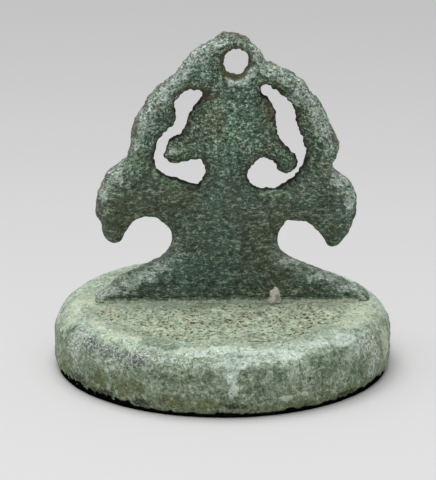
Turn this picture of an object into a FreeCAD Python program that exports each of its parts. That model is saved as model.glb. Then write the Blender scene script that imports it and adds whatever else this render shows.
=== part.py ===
"""Cast bronze seal: a thick round seal with a pierced, winged grip standing on it.

Frame: the origin is the centre of the sealing face, +Z runs up through the grip,
and the grip stands in the XZ plane with its front towards -Y. Millimetres.
"""
import FreeCAD, Part
import math
import os
import Sketcher
from FreeCAD import Vector

# Driving sizes in millimetres, and the counts
SIZES = {
    # The round seal
    "seal_radius": 20.0,
    "seal_height": 7.8,
    "heel_inset": 0.25,
    "rim_lift": 0.43,
    "rim_width": 0.15,
    "widest_height": 1.8,
    "shoulder_radius": 3.6,
    # The cut design on the sealing face
    "cut_depth": 0.8,
    "border_inset": 2.8,
    "border_width": 1.3,
    "petal_count": 8,
    "petal_root": 3.8,
    "petal_margin": 1.75,
    "petal_width": 4.6,
    "dot_radius": 0.85,
    "dot_margin": 1.7,
    "core_radius": 2.6,
    "core_boss": 1.5,
    # The pierced grip
    "handle_reach": 16.0,
    "handle_rise": 32.6,
    "handle_thickness": 3.2,
    "handle_setback": 1.2,
    "handle_root": 2.6,
    "handle_rounding": 0.7,
    "eye_radius": 1.6,
    "eye_rounding": 0.55,
    # The solder that holds the grip
    "solder_bed": 0.2,
    "bead_leg": 0.75,
    "bead_hollow": 1.2,
    "bead_root": 0.9,
    # What the ground left on the seal
    "crust_thickness": 0.3,
    "nodule_width": 1.1,
    "nodule_height": 1.9,
    "nodule_reach": 1.5,
}

# The grip's foot ends, as shares of its reach
FOOT_LEFT_SHARE = -0.985
FOOT_RIGHT_SHARE = 1.115

# Where the bed of solder ends under the foot
BED_LEFT_SHARE = -0.950
BED_RIGHT_SHARE = 1.080

# Where the beads of solder end beside the foot, short of its low toes
BEAD_LEFT_SHARE = -0.880
BEAD_RIGHT_SHARE = 1.020

# The lifted rim's edge, the flat face that stands one step in from it, and the rings
# of the face's design, each one margin inside the last
RIM = "sizes.seal_radius - sizes.heel_inset"
FACE = f"{RIM} - sizes.rim_width"
BORDER = f"{FACE} - sizes.border_inset"
BORDER_INNER = f"{BORDER} - sizes.border_width / 2"
PETAL_TIP = f"{BORDER_INNER} - sizes.petal_margin"
DOT_CIRCLE = f"{BORDER_INNER} - sizes.dot_margin - sizes.dot_radius"

# The grip's front and back faces along Y
FRONT = "sizes.handle_setback - sizes.handle_thickness / 2"
BACK = "sizes.handle_setback + sizes.handle_thickness / 2"

# The grip's outline, from its left foot over the crown to its right foot:
# shares of its reach along X and of its rise above the seal along Z
OUTLINE_SHARES = (
    (-0.970, 0.000), (-0.905, 0.017), (-0.830, 0.050), (-0.685, 0.105),
    (-0.570, 0.127), (-0.485, 0.147), (-0.425, 0.170), (-0.385, 0.200),
    (-0.375, 0.235), (-0.390, 0.267), (-0.440, 0.296), (-0.510, 0.313),
    (-0.605, 0.314), (-0.665, 0.297), (-0.709, 0.268), (-0.741, 0.240),
    (-0.772, 0.219), (-0.819, 0.216), (-0.857, 0.230), (-0.893, 0.280),
    (-0.930, 0.325), (-0.934, 0.355), (-0.912, 0.407), (-0.880, 0.453),
    (-0.835, 0.487), (-0.765, 0.517), (-0.705, 0.545), (-0.684, 0.580),
    (-0.672, 0.635), (-0.645, 0.686), (-0.600, 0.718), (-0.555, 0.762),
    (-0.480, 0.796), (-0.395, 0.832), (-0.330, 0.860), (-0.290, 0.890),
    (-0.258, 0.917), (-0.185, 0.947), (-0.110, 0.967), (-0.030, 0.992),
    (0.065, 1.000), (0.160, 0.987), (0.250, 0.951), (0.302, 0.923),
    (0.332, 0.893), (0.400, 0.881), (0.490, 0.862), (0.565, 0.836),
    (0.625, 0.805), (0.690, 0.760), (0.770, 0.698), (0.825, 0.635),
    (0.860, 0.583), (0.862, 0.560), (0.838, 0.533), (0.822, 0.507),
    (0.868, 0.478), (0.945, 0.447), (0.985, 0.413), (1.002, 0.362),
    (1.000, 0.316), (0.975, 0.279), (0.935, 0.242), (0.879, 0.209),
    (0.840, 0.194), (0.794, 0.197), (0.762, 0.217), (0.725, 0.246),
    (0.680, 0.274),
    (0.630, 0.292), (0.555, 0.297), (0.490, 0.299), (0.448, 0.275),
    (0.417, 0.243), (0.413, 0.212), (0.430, 0.186), (0.475, 0.163),
    (0.560, 0.142), (0.690, 0.113), (0.825, 0.083), (0.955, 0.050),
    (1.050, 0.028), (1.105, 0.004),
)

# The two windows between the head and the arch, in the same shares
LEFT_WINDOW_SHARES = (
    (-0.145, 0.789), (-0.215, 0.794), (-0.285, 0.788), (-0.335, 0.760),
    (-0.352, 0.722), (-0.348, 0.678), (-0.375, 0.656), (-0.438, 0.632),
    (-0.475, 0.595), (-0.508, 0.536), (-0.495, 0.506), (-0.435, 0.475),
    (-0.360, 0.459), (-0.290, 0.443), (-0.210, 0.434), (-0.150, 0.446),
    (-0.125, 0.475), (-0.125, 0.506), (-0.157, 0.530), (-0.220, 0.532),
    (-0.285, 0.520), (-0.345, 0.516), (-0.395, 0.525), (-0.421, 0.548),
    (-0.405, 0.578), (-0.365, 0.612), (-0.315, 0.622), (-0.275, 0.640),
    (-0.253, 0.672), (-0.240, 0.702), (-0.208, 0.732), (-0.155, 0.766),
)
RIGHT_WINDOW_SHARES = (
    (0.282, 0.788), (0.305, 0.808), (0.348, 0.808), (0.395, 0.794),
    (0.440, 0.774), (0.500, 0.746), (0.541, 0.711), (0.557, 0.672),
    (0.575, 0.633), (0.610, 0.598), (0.626, 0.561), (0.615, 0.524),
    (0.580, 0.487), (0.532, 0.460), (0.470, 0.435), (0.395, 0.417),
    (0.310, 0.416), (0.237, 0.423), (0.195, 0.445), (0.186, 0.470),
    (0.207, 0.498), (0.254, 0.524), (0.300, 0.538), (0.350, 0.534),
    (0.395, 0.513), (0.425, 0.489), (0.465, 0.478), (0.510, 0.481),
    (0.548, 0.498), (0.559, 0.520), (0.550, 0.540), (0.513, 0.560),
    (0.452, 0.590), (0.412, 0.625), (0.388, 0.658), (0.392, 0.690),
    (0.380, 0.722), (0.352, 0.750), (0.308, 0.767),
)

# The middle of the eye through the crown, in the same shares
EYE_SHARE = (0.100, 0.898)

# The soil crust's outline on the seal's top, as shares of the seal's radius
CRUST_SHARES = (
    (-0.730, -0.120), (-0.450, -0.100), (-0.100, -0.100), (0.300, -0.100),
    (0.600, -0.100), (0.740, -0.130), (0.775, -0.220), (0.730, -0.340),
    (0.620, -0.510), (0.450, -0.660), (0.254, -0.755), (0.050, -0.745),
    (-0.145, -0.775), (-0.350, -0.710), (-0.540, -0.585), (-0.670, -0.430),
    (-0.745, -0.270),
)

# Where the pale nodule leans against the foot, as a share of the grip's reach
NODULE_SHARE = 0.390

# The widest rounding that the tightest bends of the outline can carry: a share of
# reach squared over rise where they point up, and of rise squared over reach sideways
UP_BEND_SHARE = 0.0942
SIDE_BEND_SHARE = 0.0106


def size(name):
    """A driving size, read from the sheet."""
    return FreeCAD.ActiveDocument.sizes.get(name)


def rim_radius():
    """The radius of the rim's edge, under the heel."""
    return size("seal_radius") - size("heel_inset")


def face_radius():
    """The radius of the flat sealing face, inside the rim that stands clear of the ground."""
    return rim_radius() - size("rim_width")


def border_radius():
    """The radius of the ring cut round the sealing face."""
    return face_radius() - size("border_inset")


def border_inner():
    """The radius of that ring's inner edge."""
    return border_radius() - size("border_width") / 2


def fill_sheet(doc):
    """Put every driving size into the sheet under its own name."""
    sheet = doc.addObject("Spreadsheet::Sheet", "sizes")
    for row, (name, value) in enumerate(SIZES.items(), start=1):
        sheet.set(f"A{row}", name)
        sheet.set(f"B{row}", str(value))
        sheet.setAlias(f"B{row}", name)
    doc.recompute()


def origin_feature(body, role):
    """One of a body's own planes or axes."""
    return next(part for part in body.Origin.OriginFeatures if part.Role == role)


def new_sketch(body, name, role, lift=None):
    """A sketch on one of the body's planes, lifted along its normal if asked."""
    sketch = body.newObject("Sketcher::SketchObject", name)
    sketch.AttachmentSupport = (origin_feature(body, role), [""])
    sketch.MapMode = "FlatFace"
    if lift is not None:
        sketch.setExpression("AttachmentOffset.Base.z", lift)
    return sketch


def bind(sketch, name, constraint, expression):
    """Add a named dimension to a sketch and drive it from the sheet."""
    index = sketch.addConstraint(constraint)
    sketch.renameConstraint(index, name)
    sketch.setExpression(f"Constraints.{name}", expression)


def place(sketch, name, geometry, end, guess, across, up):
    """Pin one point of a sketch at two expressions, measured from its origin."""
    along = Sketcher.Constraint("DistanceX", -1, 1, geometry, end, guess.x)
    bind(sketch, f"{name}_across", along, across)
    rise = Sketcher.Constraint("DistanceY", -1, 1, geometry, end, guess.y)
    bind(sketch, f"{name}_up", rise, up)


def end_of(sketch, geometry, point):
    """Which end of a sketch element lies at a point."""
    near = sketch.getPoint(geometry, 1).distanceToPoint(point)
    far = sketch.getPoint(geometry, 2).distanceToPoint(point)
    return 1 if near < far else 2


def free_curve(sketch, points, closed):
    """A smooth curve through points worked out from the sheet, held where it is drawn."""
    curve = Part.BSplineCurve()
    curve.interpolate(points, PeriodicFlag=closed)
    geometry = sketch.addGeometry(curve, False)
    sketch.addConstraint(Sketcher.Constraint("Block", geometry))
    return geometry


def grip_point(share):
    """A point of the grip's outline, from its shares of reach and rise."""
    across, up = share
    return Vector(across * size("handle_reach"), size("seal_height") + up * size("handle_rise"), 0)


def pad(body, name, sketch, length, symmetric=False):
    """Pad a sketch by an expression."""
    feature = body.newObject("PartDesign::Pad", name)
    feature.Profile = (sketch, [""])
    feature.setExpression("Length", length)
    feature.Midplane = symmetric
    sketch.Visibility = False
    return feature


def pocket(body, name, sketch, length, reverse=False, symmetric=False):
    """Pocket a sketch by an expression."""
    feature = body.newObject("PartDesign::Pocket", name)
    feature.Profile = (sketch, [""])
    feature.setExpression("Length", length)
    feature.Reversed = reverse
    feature.Midplane = symmetric
    sketch.Visibility = False
    return feature


def turned(body, kind, name, sketch):
    """Turn a sketch a full circle about its own vertical axis."""
    feature = body.newObject(f"PartDesign::{kind}", name)
    feature.Profile = (sketch, [""])
    feature.ReferenceAxis = (sketch, ["V_Axis"])
    feature.Angle = 360
    sketch.Visibility = False
    return feature


def profile_of_seal(sketch):
    """Half the seal's section: face, step, lifted rim, heel, straight side, round shoulder, top."""
    radius, height = size("seal_radius"), size("seal_height")
    face, rim, lift = face_radius(), rim_radius(), size("rim_lift")
    widest, shoulder = size("widest_height"), size("shoulder_radius")
    inset, climb = radius - rim, widest - lift
    heel = (climb ** 2 + inset ** 2) / (2 * inset)
    heel_circle = Part.Circle(Vector(radius - heel, widest, 0), Vector(0, 0, 1), heel)
    heel_start = math.atan2(-climb, heel - inset)
    shoulder_middle = Vector(radius - shoulder, height - shoulder, 0)
    shoulder_circle = Part.Circle(shoulder_middle, Vector(0, 0, 1), shoulder)
    sketch.addGeometry([
        Part.LineSegment(Vector(0, 0, 0), Vector(face, 0, 0)),
        Part.LineSegment(Vector(face, 0, 0), Vector(face, lift, 0)),
        Part.LineSegment(Vector(face, lift, 0), Vector(rim, lift, 0)),
        Part.ArcOfCircle(heel_circle, heel_start, 0),
        Part.LineSegment(Vector(radius, widest, 0), Vector(radius, height - shoulder, 0)),
        Part.ArcOfCircle(shoulder_circle, 0, math.pi / 2),
        Part.LineSegment(Vector(radius - shoulder, height, 0), Vector(0, height, 0)),
        Part.LineSegment(Vector(0, height, 0), Vector(0, 0, 0)),
    ], False)
    sketch.addConstraint([
        Sketcher.Constraint("Coincident", 0, 1, -1, 1),
        Sketcher.Constraint("Horizontal", 0),
        Sketcher.Constraint("Coincident", 0, 2, 1, 1),
        Sketcher.Constraint("Vertical", 1),
        Sketcher.Constraint("Coincident", 1, 2, 2, 1),
        Sketcher.Constraint("Horizontal", 2),
        Sketcher.Constraint("Coincident", 2, 2, 3, 1),
        Sketcher.Constraint("Tangent", 3, 2, 4, 1),
        Sketcher.Constraint("Vertical", 4),
        Sketcher.Constraint("Tangent", 4, 2, 5, 1),
        Sketcher.Constraint("Tangent", 5, 2, 6, 1),
        Sketcher.Constraint("Horizontal", 6),
        Sketcher.Constraint("Coincident", 6, 2, 7, 1),
        Sketcher.Constraint("Coincident", 7, 2, 0, 1),
        Sketcher.Constraint("Vertical", 7),
    ])
    bind(sketch, "face", Sketcher.Constraint("DistanceX", -1, 1, 0, 2, face), FACE)
    place(sketch, "rim", 2, 2, Vector(rim, lift, 0), RIM, "sizes.rim_lift")
    widest_point = Vector(radius, widest, 0)
    place(sketch, "widest", 4, 1, widest_point, "sizes.seal_radius", "sizes.widest_height")
    bind(sketch, "top", Sketcher.Constraint("DistanceY", -1, 1, 6, 2, height), "sizes.seal_height")
    round_edge = Sketcher.Constraint("Radius", 5, shoulder)
    bind(sketch, "shoulder", round_edge, "sizes.shoulder_radius")


def border_section(sketch):
    """The V section of the ring cut round the sealing face."""
    middle, half, depth = border_radius(), size("border_width") / 2, size("cut_depth")
    inner, outer = Vector(middle - half, 0, 0), Vector(middle + half, 0, 0)
    root = Vector(middle, depth, 0)
    sketch.addGeometry([
        Part.LineSegment(inner, outer),
        Part.LineSegment(outer, root),
        Part.LineSegment(root, inner),
    ], False)
    sketch.addConstraint([
        Sketcher.Constraint("Coincident", 0, 2, 1, 1),
        Sketcher.Constraint("Coincident", 1, 2, 2, 1),
        Sketcher.Constraint("Coincident", 2, 2, 0, 1),
        Sketcher.Constraint("Horizontal", 0),
        Sketcher.Constraint("PointOnObject", 0, 1, -1),
    ])
    edge = Sketcher.Constraint("DistanceX", -1, 1, 0, 1, inner.x)
    bind(sketch, "inner", edge, BORDER_INNER)
    width = Sketcher.Constraint("DistanceX", 0, 1, 0, 2, 2 * half)
    bind(sketch, "width", width, "sizes.border_width")
    place(sketch, "root", 1, 2, root, BORDER, "sizes.cut_depth")


def petal_outline(sketch):
    """One petal of the cut rosette: two equal arcs that meet at its root and tip."""
    root, half = size("petal_root"), size("petal_width") / 2
    tip = border_inner() - size("petal_margin")
    middle = (root + tip) / 2
    start, end = Vector(root, 0, 0), Vector(tip, 0, 0)
    sketch.addGeometry([
        Part.Arc(start, Vector(middle, half, 0), end),
        Part.Arc(start, Vector(middle, -half, 0), end),
    ], False)
    sketch.addConstraint([
        Sketcher.Constraint("Coincident", 0, 1, 1, 2),
        Sketcher.Constraint("Coincident", 0, 2, 1, 1),
        Sketcher.Constraint("Equal", 0, 1),
        Sketcher.Constraint("PointOnObject", 0, 2, -1),
        Sketcher.Constraint("PointOnObject", 0, 1, -1),
    ])
    return start, end


def add_petal(body):
    """Cut one petal into the sealing face."""
    sketch = new_sketch(body, "petal_sketch", "XY_Plane")
    start, end = petal_outline(sketch)
    tip_place = Sketcher.Constraint("DistanceX", -1, 1, 0, end_of(sketch, 0, end), end.x)
    bind(sketch, "tip", tip_place, PETAL_TIP)
    root_place = Sketcher.Constraint("DistanceX", -1, 1, 0, end_of(sketch, 0, start), start.x)
    bind(sketch, "root", root_place, "sizes.petal_root")
    length, half = end.x - start.x, size("petal_width") / 2
    bend = Sketcher.Constraint("Radius", 0, (length ** 2 / 4 + half ** 2) / (2 * half))
    long_part = f"({PETAL_TIP} - sizes.petal_root) ^ 2"
    wide_part = "sizes.petal_width ^ 2"
    bind(sketch, "bend", bend, f"({long_part} + {wide_part}) / (4 * sizes.petal_width)")
    return pocket(body, "petal", sketch, "sizes.cut_depth", reverse=True)


def add_dot(body):
    """Cut one drilled dot between two petals."""
    sketch = new_sketch(body, "dot_sketch", "XY_Plane")
    turn = math.pi / size("petal_count")
    circle = border_inner() - size("dot_margin") - size("dot_radius")
    middle = Vector(circle * math.cos(turn), circle * math.sin(turn), 0)
    sketch.addGeometry(Part.Circle(middle, Vector(0, 0, 1), size("dot_radius")), False)
    half_step = "180 deg / sizes.petal_count"
    across, up = f"({DOT_CIRCLE}) * cos({half_step})", f"({DOT_CIRCLE}) * sin({half_step})"
    place(sketch, "dot", 0, 3, middle, across, up)
    bind(sketch, "radius", Sketcher.Constraint("Radius", 0, size("dot_radius")), "sizes.dot_radius")
    return pocket(body, "dot", sketch, "sizes.cut_depth", reverse=True)


def add_core(body):
    """Cut a ring round the small boss in the middle of the rosette."""
    sketch = new_sketch(body, "core_sketch", "XY_Plane")
    for number, name in enumerate(("core_radius", "core_boss")):
        sketch.addGeometry(Part.Circle(Vector(0, 0, 0), Vector(0, 0, 1), size(name)), False)
        sketch.addConstraint(Sketcher.Constraint("Coincident", number, 3, -1, 1))
        bind(sketch, name, Sketcher.Constraint("Radius", number, size(name)), f"sizes.{name}")
    return pocket(body, "core", sketch, "sizes.cut_depth", reverse=True)


def build_seal(doc):
    """The round seal, with a border, a rosette and dots cut into its face."""
    body = doc.addObject("PartDesign::Body", "seal_disc")
    section = new_sketch(body, "seal_section", "XZ_Plane")
    profile_of_seal(section)
    turned(body, "Revolution", "seal_blank", section)
    border = new_sketch(body, "border_sketch", "XZ_Plane")
    border_section(border)
    turned(body, "Groove", "border", border)
    add_core(body)
    petal, dot = add_petal(body), add_dot(body)
    rosette = body.newObject("PartDesign::PolarPattern", "rosette")
    rosette.Originals = [petal, dot]
    rosette.Axis = (origin_feature(body, "Z_Axis"), [""])
    rosette.Angle = 360
    rosette.setExpression("Occurrences", "sizes.petal_count")
    body.Tip = rosette
    return body


def grip_outline(sketch):
    """The grip's side view: one free curve from foot to foot, closed under the seal's top."""
    depth = size("handle_root")
    left = Vector(FOOT_LEFT_SHARE * size("handle_reach"), size("seal_height") - depth, 0)
    right = Vector(FOOT_RIGHT_SHARE * size("handle_reach"), size("seal_height") - depth, 0)
    through = [grip_point(share) for share in OUTLINE_SHARES]
    start, end = through[0], through[-1]
    outline = free_curve(sketch, through, closed=False)
    first = sketch.GeometryCount
    sketch.addGeometry([
        Part.LineSegment(end, right),
        Part.LineSegment(right, left),
        Part.LineSegment(left, start),
    ], False)
    sketch.addConstraint([
        Sketcher.Constraint("Coincident", outline, 2, first, 1),
        Sketcher.Constraint("Coincident", first, 2, first + 1, 1),
        Sketcher.Constraint("Coincident", first + 1, 2, first + 2, 1),
        Sketcher.Constraint("Coincident", first + 2, 2, outline, 1),
    ])
    low = "sizes.seal_height - sizes.handle_root"
    place(sketch, "right_foot", first, 2, right, f"sizes.handle_reach * {FOOT_RIGHT_SHARE}", low)
    place(sketch, "left_foot", first + 1, 2, left, f"sizes.handle_reach * {FOOT_LEFT_SHARE}", low)


def face_edges(shape, curve_kinds):
    """Names of the edges of those kinds that lie in the grip's front or back plane."""
    half = size("handle_thickness") / 2
    planes = (size("handle_setback") - half, size("handle_setback") + half)
    tolerance = half / 1000
    names = []
    for number, edge in enumerate(shape.Edges, start=1):
        box = edge.BoundBox
        flat = any(abs(box.YMin - y) < tolerance and abs(box.YMax - y) < tolerance for y in planes)
        if flat and edge.Curve.TypeId in curve_kinds:
            names.append(f"Edge{number}")
    return names


def round_edges(doc, body, name, curve_kinds, radius):
    """Round the named kinds of edge on both faces of the grip."""
    doc.recompute()
    base = body.Tip
    rounding = body.newObject("PartDesign::Fillet", name)
    rounding.Base = (base, face_edges(base.Shape, curve_kinds))
    rounding.setExpression("Radius", radius)
    return rounding


def shell_section(sketch, gap, gap_expression):
    """Half the section of a shell over the seal: its own top and shoulder, one gap away."""
    shoulder = size("shoulder_radius")
    flat, top = size("seal_radius") - shoulder, size("seal_height") + gap
    round_radius, centre_height = shoulder + gap, size("seal_height") - shoulder
    middle = Vector(flat, centre_height, 0)
    side = flat + round_radius
    sketch.addGeometry([
        Part.LineSegment(Vector(0, 0, 0), Vector(side, 0, 0)),
        Part.LineSegment(Vector(side, 0, 0), Vector(side, centre_height, 0)),
        Part.ArcOfCircle(Part.Circle(middle, Vector(0, 0, 1), round_radius), 0, math.pi / 2),
        Part.LineSegment(Vector(flat, top, 0), Vector(0, top, 0)),
        Part.LineSegment(Vector(0, top, 0), Vector(0, 0, 0)),
    ], False)
    sketch.addConstraint([
        Sketcher.Constraint("Coincident", 0, 1, -1, 1),
        Sketcher.Constraint("Horizontal", 0),
        Sketcher.Constraint("Coincident", 0, 2, 1, 1),
        Sketcher.Constraint("Vertical", 1),
        Sketcher.Constraint("Tangent", 1, 2, 2, 1),
        Sketcher.Constraint("Tangent", 2, 2, 3, 1),
        Sketcher.Constraint("Coincident", 3, 2, 4, 1),
        Sketcher.Constraint("Coincident", 4, 2, 0, 1),
        Sketcher.Constraint("Vertical", 4),
    ])
    along = "sizes.seal_radius - sizes.shoulder_radius"
    rise = "sizes.seal_height - sizes.shoulder_radius"
    place(sketch, "shoulder", 2, 3, middle, along, rise)
    offset = Sketcher.Constraint("Radius", 2, round_radius)
    bind(sketch, "offset", offset, f"sizes.shoulder_radius + {gap_expression}")


def build_handle(doc):
    """The pierced grip: outline, two windows and the eye, edges rounded, foot cut to the seal."""
    body = doc.addObject("PartDesign::Body", "handle")
    lift = "-sizes.handle_setback"
    outline = new_sketch(body, "grip_sketch", "XZ_Plane", lift)
    grip_outline(outline)
    pad(body, "grip_plate", outline, "sizes.handle_thickness", symmetric=True)
    for name, shares in (("left_window", LEFT_WINDOW_SHARES), ("right_window", RIGHT_WINDOW_SHARES)):
        sketch = new_sketch(body, f"{name}_sketch", "XZ_Plane", lift)
        free_curve(sketch, [grip_point(share) for share in shares], closed=True)
        pocket(body, name, sketch, "sizes.handle_thickness * 2", symmetric=True)
    eye_sketch = new_sketch(body, "eye_sketch", "XZ_Plane", lift)
    eye = grip_point(EYE_SHARE)
    eye_sketch.addGeometry(Part.Circle(eye, Vector(0, 0, 1), size("eye_radius")), False)
    across = f"sizes.handle_reach * {EYE_SHARE[0]}"
    up = f"sizes.seal_height + sizes.handle_rise * {EYE_SHARE[1]}"
    place(eye_sketch, "eye", 0, 3, eye, across, up)
    bore = Sketcher.Constraint("Radius", 0, size("eye_radius"))
    bind(eye_sketch, "bore", bore, "sizes.eye_radius")
    pocket(body, "eye", eye_sketch, "sizes.handle_thickness * 2", symmetric=True)
    round_edges(doc, body, "eye_rounding", ("Part::GeomCircle",), "sizes.eye_rounding")
    up_bend = f"sizes.handle_reach ^ 2 / sizes.handle_rise * {UP_BEND_SHARE}"
    side_bend = f"sizes.handle_rise ^ 2 / sizes.handle_reach * {SIDE_BEND_SHARE}"
    rounding = f"min(sizes.handle_rounding; {up_bend}; {side_bend})"
    round_edges(doc, body, "edge_rounding", ("Part::GeomBSplineCurve",), rounding)
    seat = new_sketch(body, "seat_sketch", "XZ_Plane")
    shell_section(seat, size("solder_bed"), "sizes.solder_bed")
    turned(body, "Groove", "foot_seat", seat)
    return body


def rectangle(sketch, low, high, places):
    """An upright rectangle held at two opposite corners."""
    corners = (low, Vector(high.x, low.y, 0), high, Vector(low.x, high.y, 0))
    sides = range(len(corners))
    ends = [corners[(number + 1) % len(corners)] for number in sides]
    sketch.addGeometry([Part.LineSegment(corners[number], ends[number]) for number in sides], False)
    for number in sides:
        after = (number + 1) % len(corners)
        sketch.addConstraint(Sketcher.Constraint("Coincident", number, 2, after, 1))
        level = "Vertical" if number % 2 else "Horizontal"
        sketch.addConstraint(Sketcher.Constraint(level, number))
    place(sketch, "low", 0, 1, low, *places[0])
    place(sketch, "high", 2, 1, high, *places[1])


def bed_section(sketch):
    """The thin bed of solder between the foot and the seal, deep enough to reach the shoulder."""
    half, top = size("handle_thickness") / 2, size("seal_height")
    low = Vector(size("handle_setback") - half, top - size("bead_root"), 0)
    high = Vector(size("handle_setback") + half, top + size("solder_bed"), 0)
    places = (
        (FRONT, "sizes.seal_height - sizes.bead_root"),
        (BACK, "sizes.seal_height + sizes.solder_bed"),
    )
    rectangle(sketch, low, high, places)


def bead_section(sketch):
    """The bead's section: hollow-faced up both sides of the grip, and rooted in the seal."""
    leg, depth, hollow = size("bead_leg"), size("bead_root"), size("bead_hollow")
    middle, half, top = size("handle_setback"), size("handle_thickness") / 2, size("seal_height")
    front, back = middle - half, middle + half
    corners = {
        "front_low": Vector(front - leg, top - depth, 0),
        "back_low": Vector(back + leg, top - depth, 0),
        "back_toe": Vector(back + leg, top, 0),
        "back_top": Vector(back, top + leg, 0),
        "front_top": Vector(front, top + leg, 0),
        "front_toe": Vector(front - leg, top, 0),
    }
    dip = (hollow - math.sqrt(hollow ** 2 - leg ** 2 / 2)) / math.sqrt(2)
    back_hollow = (corners["back_toe"] + corners["back_top"]) * 0.5 - Vector(dip, dip, 0)
    front_hollow = (corners["front_toe"] + corners["front_top"]) * 0.5 + Vector(dip, -dip, 0)
    sketch.addGeometry([
        Part.LineSegment(corners["front_low"], corners["back_low"]),
        Part.LineSegment(corners["back_low"], corners["back_toe"]),
        Part.Arc(corners["back_toe"], back_hollow, corners["back_top"]),
        Part.LineSegment(corners["back_top"], corners["front_top"]),
        Part.Arc(corners["front_top"], front_hollow, corners["front_toe"]),
        Part.LineSegment(corners["front_toe"], corners["front_low"]),
    ], False)
    return corners


def hold_bead(sketch, corners):
    """Tie the bead's section to the grip's thickness and the seal's top."""
    low, top = "sizes.seal_height - sizes.bead_root", "sizes.seal_height"
    places = {
        "front_low": (f"{FRONT} - sizes.bead_leg", low),
        "back_low": (f"{BACK} + sizes.bead_leg", low),
        "back_toe": (f"{BACK} + sizes.bead_leg", top),
        "back_top": (BACK, f"{top} + sizes.bead_leg"),
        "front_top": (FRONT, f"{top} + sizes.bead_leg"),
        "front_toe": (f"{FRONT} - sizes.bead_leg", top),
    }
    names = list(corners)
    for number, name in enumerate(names):
        before = (number - 1) % len(names)
        point = corners[name]
        joined = end_of(sketch, before, point), end_of(sketch, number, point)
        sketch.addConstraint(Sketcher.Constraint("Coincident", before, joined[0], number, joined[1]))
        across, up = places[name]
        place(sketch, name, number, joined[1], point, across, up)
    for name, geometry in (("back_bend", 2), ("front_bend", 4)):
        bend = Sketcher.Constraint("Radius", geometry, size("bead_hollow"))
        bind(sketch, name, bend, "sizes.bead_hollow")


def cut(doc, name, base, tool):
    """One solid less another."""
    result = doc.addObject("Part::Cut", name)
    result.Base = base
    result.Tool = tool
    return result


def solder_limit(doc):
    """How far the solder wets: a shell over the seal's top and shoulder."""
    body = doc.addObject("PartDesign::Body", "solder_limit")
    section = new_sketch(body, "limit_sketch", "XZ_Plane")
    gap = size("bead_leg") + size("solder_bed")
    shell_section(section, gap, "sizes.bead_leg + sizes.solder_bed")
    turned(body, "Revolution", "limit_shell", section)
    return body


def build_solder(doc, seal, handle):
    """The solder: a thin bed under the whole foot, and a bead along both sides of it."""
    body = doc.addObject("PartDesign::Body", "solder_run")
    bed = new_sketch(body, "bed_sketch", "YZ_Plane", f"sizes.handle_reach * {BED_LEFT_SHARE}")
    bed_section(bed)
    bed_span = BED_RIGHT_SHARE - BED_LEFT_SHARE
    pad(body, "solder_bed", bed, f"sizes.handle_reach * {bed_span}")
    bead = new_sketch(body, "bead_sketch", "YZ_Plane", f"sizes.handle_reach * {BEAD_LEFT_SHARE}")
    hold_bead(bead, bead_section(bead))
    bead_span = BEAD_RIGHT_SHARE - BEAD_LEFT_SHARE
    pad(body, "solder_bead", bead, f"sizes.handle_reach * {bead_span}")
    near = doc.addObject("Part::Common", "solder_near_seal")
    near.Base = body
    near.Tool = solder_limit(doc)
    over_seal = cut(doc, "solder_over_seal", near, seal)
    return cut(doc, "solder_joint", over_seal, handle)


def build_crust(doc):
    """The thin crust of soil that clings to the seal's top in front of the grip."""
    body = doc.addObject("PartDesign::Body", "soil_crust")
    sketch = new_sketch(body, "crust_sketch", "XY_Plane", "sizes.seal_height")
    radius = size("seal_radius")
    points = [Vector(across * radius, along * radius, 0) for across, along in CRUST_SHARES]
    free_curve(sketch, points, closed=True)
    pad(body, "crust_slab", sketch, "sizes.crust_thickness")
    return body


def build_nodule(doc, seal, handle, solder, crust):
    """A pale lump grown against the foot, cut by everything that it clings to."""
    lump = doc.addObject("Part::Ellipsoid", "nodule_lump")
    lump.setExpression("Radius1", "sizes.nodule_height")
    lump.setExpression("Radius2", "sizes.nodule_width / 2")
    lump.setExpression("Radius3", "sizes.nodule_reach")
    lump.setExpression("Placement.Base.x", f"sizes.handle_reach * {NODULE_SHARE}")
    lump.setExpression("Placement.Base.y", FRONT)
    lump.setExpression("Placement.Base.z", "sizes.seal_height")
    rest = lump
    for name, tool in (("seal", seal), ("handle", handle), ("solder", solder)):
        rest = cut(doc, f"nodule_over_{name}", rest, tool)
    return cut(doc, "crust_nodule", rest, crust)


def check_document(doc, pieces):
    """Stop if any object failed, or a piece has no sound solid."""
    for item in doc.Objects:
        if "Invalid" in item.State or "Error" in item.State:
            raise RuntimeError(f"{item.Name} failed: {item.State}")
    for node, piece in pieces.items():
        shape = piece.Shape
        if shape.isNull() or not shape.isValid() or not shape.Solids:
            raise RuntimeError(f"{node} has no sound solid")
        print(node, len(shape.Solids), "solids", round(shape.Volume, 2), "cubic mm", shape.BoundBox)


def check_cuts(doc, names):
    """Stop if a cutting feature took nothing away."""
    for name in names:
        feature = doc.getObject(name)
        before = feature.BaseFeature.Shape.Volume
        if feature.Shape.Volume >= before:
            raise RuntimeError(f"{name} cut nothing")


def main():
    """Build the seal and write each piece's STEP file."""
    doc = FreeCAD.newDocument("bronze_seal")
    fill_sheet(doc)
    seal = build_seal(doc)
    handle = build_handle(doc)
    solder = build_solder(doc, seal, handle)
    crust = build_crust(doc)
    nodule = build_nodule(doc, seal, handle, solder, crust)
    pieces = {
        "seal_disc": seal,
        "handle": handle,
        "solder_joint": solder,
        "soil_crust": crust,
        "crust_nodule": nodule,
    }
    for node, piece in pieces.items():
        piece.Label = node
    doc.recompute()
    check_document(doc, pieces)
    cuts = ("border", "core", "petal", "dot", "left_window", "right_window", "eye", "foot_seat")
    check_cuts(doc, cuts)
    os.makedirs("parts", exist_ok=True)
    for node, piece in pieces.items():
        piece.Shape.exportStep(f"parts/{node}.step")


main()
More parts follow.
